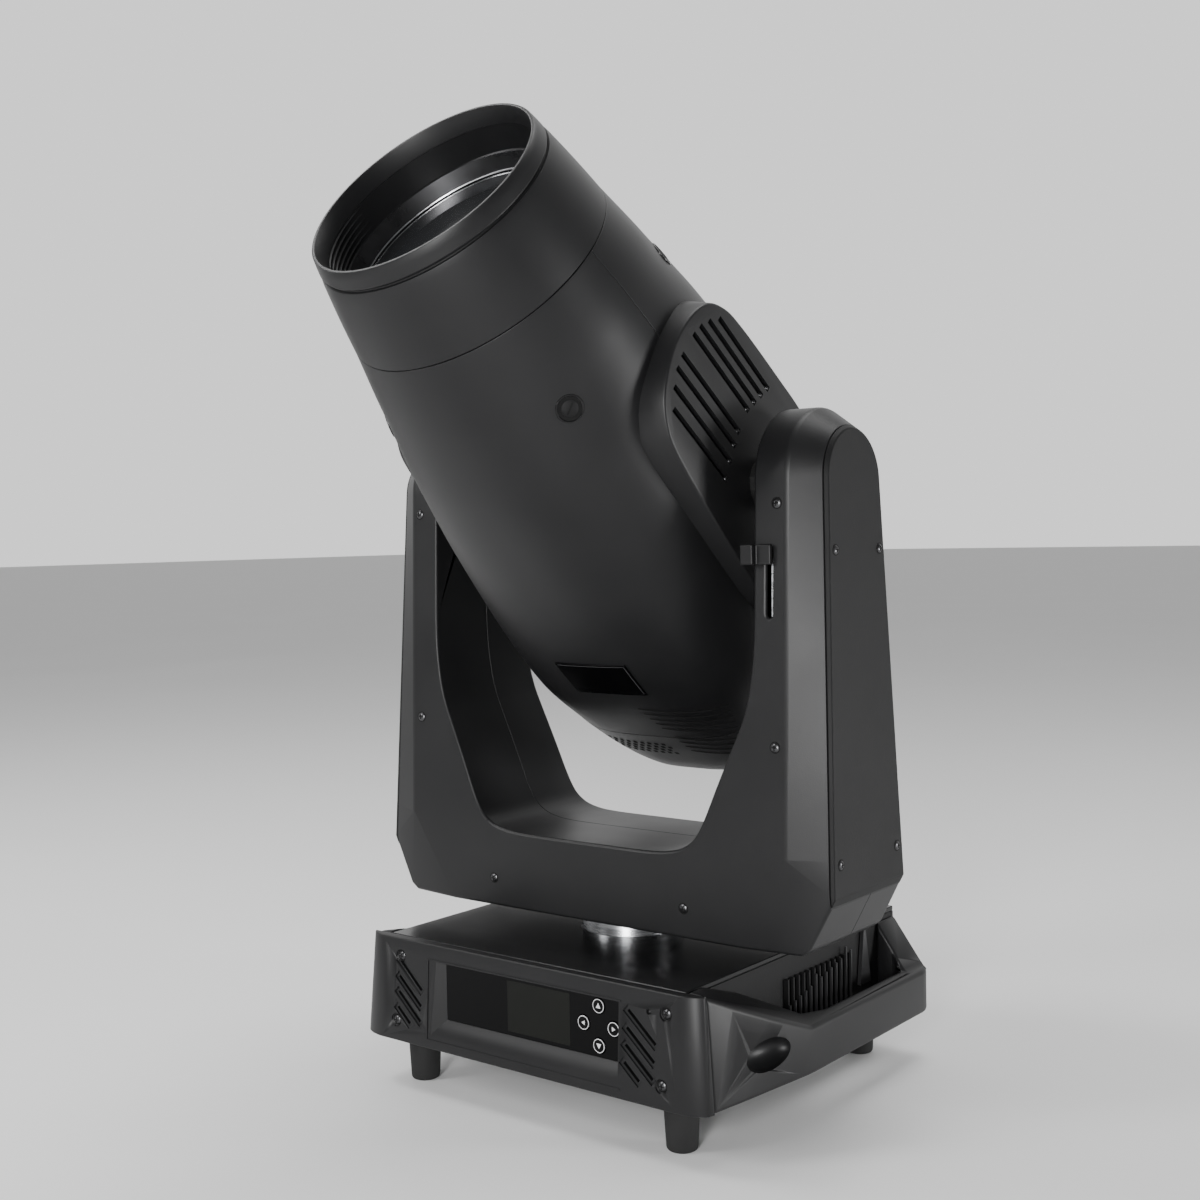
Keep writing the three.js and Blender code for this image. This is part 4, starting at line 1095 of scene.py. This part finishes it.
def nose():
    """The cone in front of the barrel, its ring, the big lens with its keeper, and the dark inside."""
    tube = [(104, 236.3), (108.1, 236.3), (108.6, 236.8)]
    for i in range(1, 12):
        t = i / 12
        tube.append((108.6 - 12.2 * t + 0.5 * math.sin(math.pi * t), 236.8 + 60.9 * t))
    tube += [(96.4, 296.4), (96.1, 297.1), (94.2, 297.4), (94.0, 298.2), (88, 298.2)]
    tube += [(88, 276.5), (87.4, 276), (86.4, 275.6), (84, 268), (82, 263), (82, 250), (86, 250)]
    obj = made_object("nose", lathe("nose", tube, 192, True, HEAD), PLASTIC, "head")
    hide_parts("nose_tube")
    ring = [(88, 298.5), (94.0, 298.5), (94.2, 299.5), (95.5, 299.9), (95.7, 300.5), (94.4, 306.4)]
    ring += [(92.9, 312.2), (92.3, 312.9), (91.2, 313.2), (90.4, 313.0), (90, 312.4), (88.1, 299)]
    mouth = lathe("mouth", ring, 192, True, HEAD)
    obj = made_object("mouth_ring", mouth, PLASTIC, "head")
    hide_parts("front_ring")
    keeper = [(87.4, 275.9), (87.0, 276.3), (86.2, 275.9), (82.4, 264.4)]
    keeper += [(82.1, 263.4), (81.2, 263.0), (83.2, 263.0)]
    made_object("lens_keeper", lathe("keeper", keeper, 192, True, HEAD), DARK_STEEL, "head")
    # Painted highlight: a thin ring of bright metal on the keeper's inner lip, standing for the glint
    # there.
    keeper_glint = [(81.9, 263.7), (82.0, 264.3), (81.2, 264.2), (80.9, 263.6)]
    made_object("lens_keeper_glint", lathe("keeper_glint", keeper_glint, 192, True, HEAD), BRIGHT, "head")
    ribs = []
    for i in range(5):
        s, verts, faces = 296.5 - 4.2 * i, [], []
        for j in range(25):
            a = math.radians(168 + 2.4 * j)
            rise = 1.3 * math.sin(math.pi * j / 24)
            ridge = ((88.2, 0.8), (88 - rise, 0), (88.2, -0.8))
            verts += [(r * math.cos(a), r * math.sin(a), s + d) for r, d in ridge]
        for j in range(24):
            p = 3 * j
            faces += [(p, p + 1, p + 4, p + 3), (p + 1, p + 2, p + 5, p + 4)]
        ribs.append(build("rib", verts, faces, HEAD))
    made_object("bore_ribs", joined("ribs", ribs), PLASTIC, "head")
    radius, bulge = 81.5, 9.5
    radii = [radius * i / 24 for i in range(25)]
    lens = [(r, 257.5 - bulge * (1 - (r / radius) ** 2)) for r in radii]
    lens += [(r, 262.5 + bulge * (1 - (r / radius) ** 2)) for r in reversed(radii)]
    glass = lathe("objective", lens, 160, False, HEAD)
    obj = made_object("objective", glass, LENS, "head")
    smooth(obj.data, 60)
    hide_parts("front_lens")
    cells = [(79, 222.5), (80, 222.5), (80, 249), (79, 249)]
    made_object("lens_cell", lathe("cell", cells, 96, True, HEAD), BAFFLE, "head")
    iris = lathe("iris", [(54, 196), (79.5, 219), (79.5, 220), (54, 197)], 96, True, HEAD)
    made_object("light_baffle", iris, BAFFLE, "head")


def badge():
    """A blank gloss badge that follows the barrel, with a painted highlight along two of its edges."""
    rows = []
    for i in range(15):
        s = -96 + 40 * i / 14
        across = [-33 + 72 * j / 24 for j in range(25)]
        rows.append([tuple(surface_point(x, s, -1, SECTIONS, 1.15)[0]) for x in across])
    verts, faces = grid(rows, False)
    mesh = build("badge", verts, faces, HEAD)
    obj = made_object("blank_badge", mesh, GLOSS, "head")
    face = mesh.polygons[len(mesh.polygons) // 2]
    walled(obj, 0.8, face.normal.dot(HEAD.to_3x3() @ Vector((0, -1, 0))) > 0)
    bevelled(obj, 0.3, 2, 50)
    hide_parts("badge_plate")
    # A painted highlight: lighter lines along two edges of the badge, standing for the light caught by
    # those edges.
    edges = [((37, -94), (37, -58)), ((37, -58), (-31, -58))]
    strips("badge_edge_highlight", edges, 0.6, SECTIONS, -1, PAINTED_EDGE_LIGHT, 1.22)


def inside():
    """What turns with the head and is hidden by its covers."""
    paint(BAFFLE, "head_frame", "tilt_axle_left", "tilt_axle_right")
    paint(STEEL, "guide_rod_left", "guide_rod_right")
    paint(CAST, "tilt_pulley", "light_engine", "heatsink", "gobo_wheel")
    paint(COAT, "zoom_carriage", "focus_carriage")
    paint(INNER_LENS, "zoom_lens", "focus_lens")
    paint(DICHROIC, "colour_wheel")
    paint(PLASTIC, "fan_frame", "fan_impeller")


base()
yoke()
head_covers()
nose()
for side in (1, -1):
    pod(side)
badge()
painted_vent_shade()
cover_screws()
inside()


# ---- studio ----
def studio():
    """A pale floor, a sky brighter on one side, and five lamps aimed at the light's middle."""
    floor = block("floor", (-30000, 30000), (-30000, 30000), (FLOOR_Z - 3, FLOOR_Z))
    obj = linked("floor", floor)
    pale = finish("floor_pale", (0.86, 0.86, 0.86), (0.88, 0.88, 0.88), (0.55, 0.65), cloud=2)
    floor.materials.append(pale)
    world = bpy.data.worlds.new("studio")
    bpy.context.scene.world = world
    world.use_nodes = True
    tree = world.node_tree
    sky = tree.nodes["Background"]
    where = tree.nodes.new("ShaderNodeTexCoord")
    facing = tree.nodes.new("ShaderNodeVectorMath")
    facing.operation = "DOT_PRODUCT"
    facing.inputs[1].default_value = (-0.62, 0.78, 0.0)
    ramp = tree.nodes.new("ShaderNodeMapRange")
    ramp.interpolation_type = "SMOOTHSTEP"
    ramp.inputs["From Min"].default_value = -0.2
    ramp.inputs["From Max"].default_value = 0.85
    ramp.inputs["To Min"].default_value = 0.10
    ramp.inputs["To Max"].default_value = 1.15
    tree.links.new(where.outputs["Generated"], facing.inputs[0])
    tree.links.new(facing.outputs["Value"], ramp.inputs["Value"])
    tree.links.new(ramp.outputs["Result"], sky.inputs["Strength"])
    sky.inputs["Color"].default_value = (1.0, 1.0, 1.0, 1)
    lamps = [
        ("key", (1.0, -2.3, 0.6), (0.5, 1.1), 64),
        ("left", (-1.3, -1.9, 1.4), (0.6, 1.2), 30),
        ("side", (2.0, 0.9, 0.2), (0.4, 0.5), 30),
        ("lens", (-1.35, -0.45, 2.35), (0.7, 0.7), 20),
        ("top", (0.2, 0.6, 2.6), (1.2, 1.2), 24),
    ]
    middle = Vector((0, -0.03, 0.36))
    for name, spot, size, power in lamps:
        data = bpy.data.lights.new(name, "AREA")
        data.shape = "RECTANGLE"
        data.size, data.size_y = size
        data.energy = power
        lamp = linked(name, data)
        aim = (Vector(spot) - middle).to_track_quat("Z", "Y")
        lamp.matrix_world = Matrix.Translation(spot) @ aim.to_matrix().to_4x4()


studio()
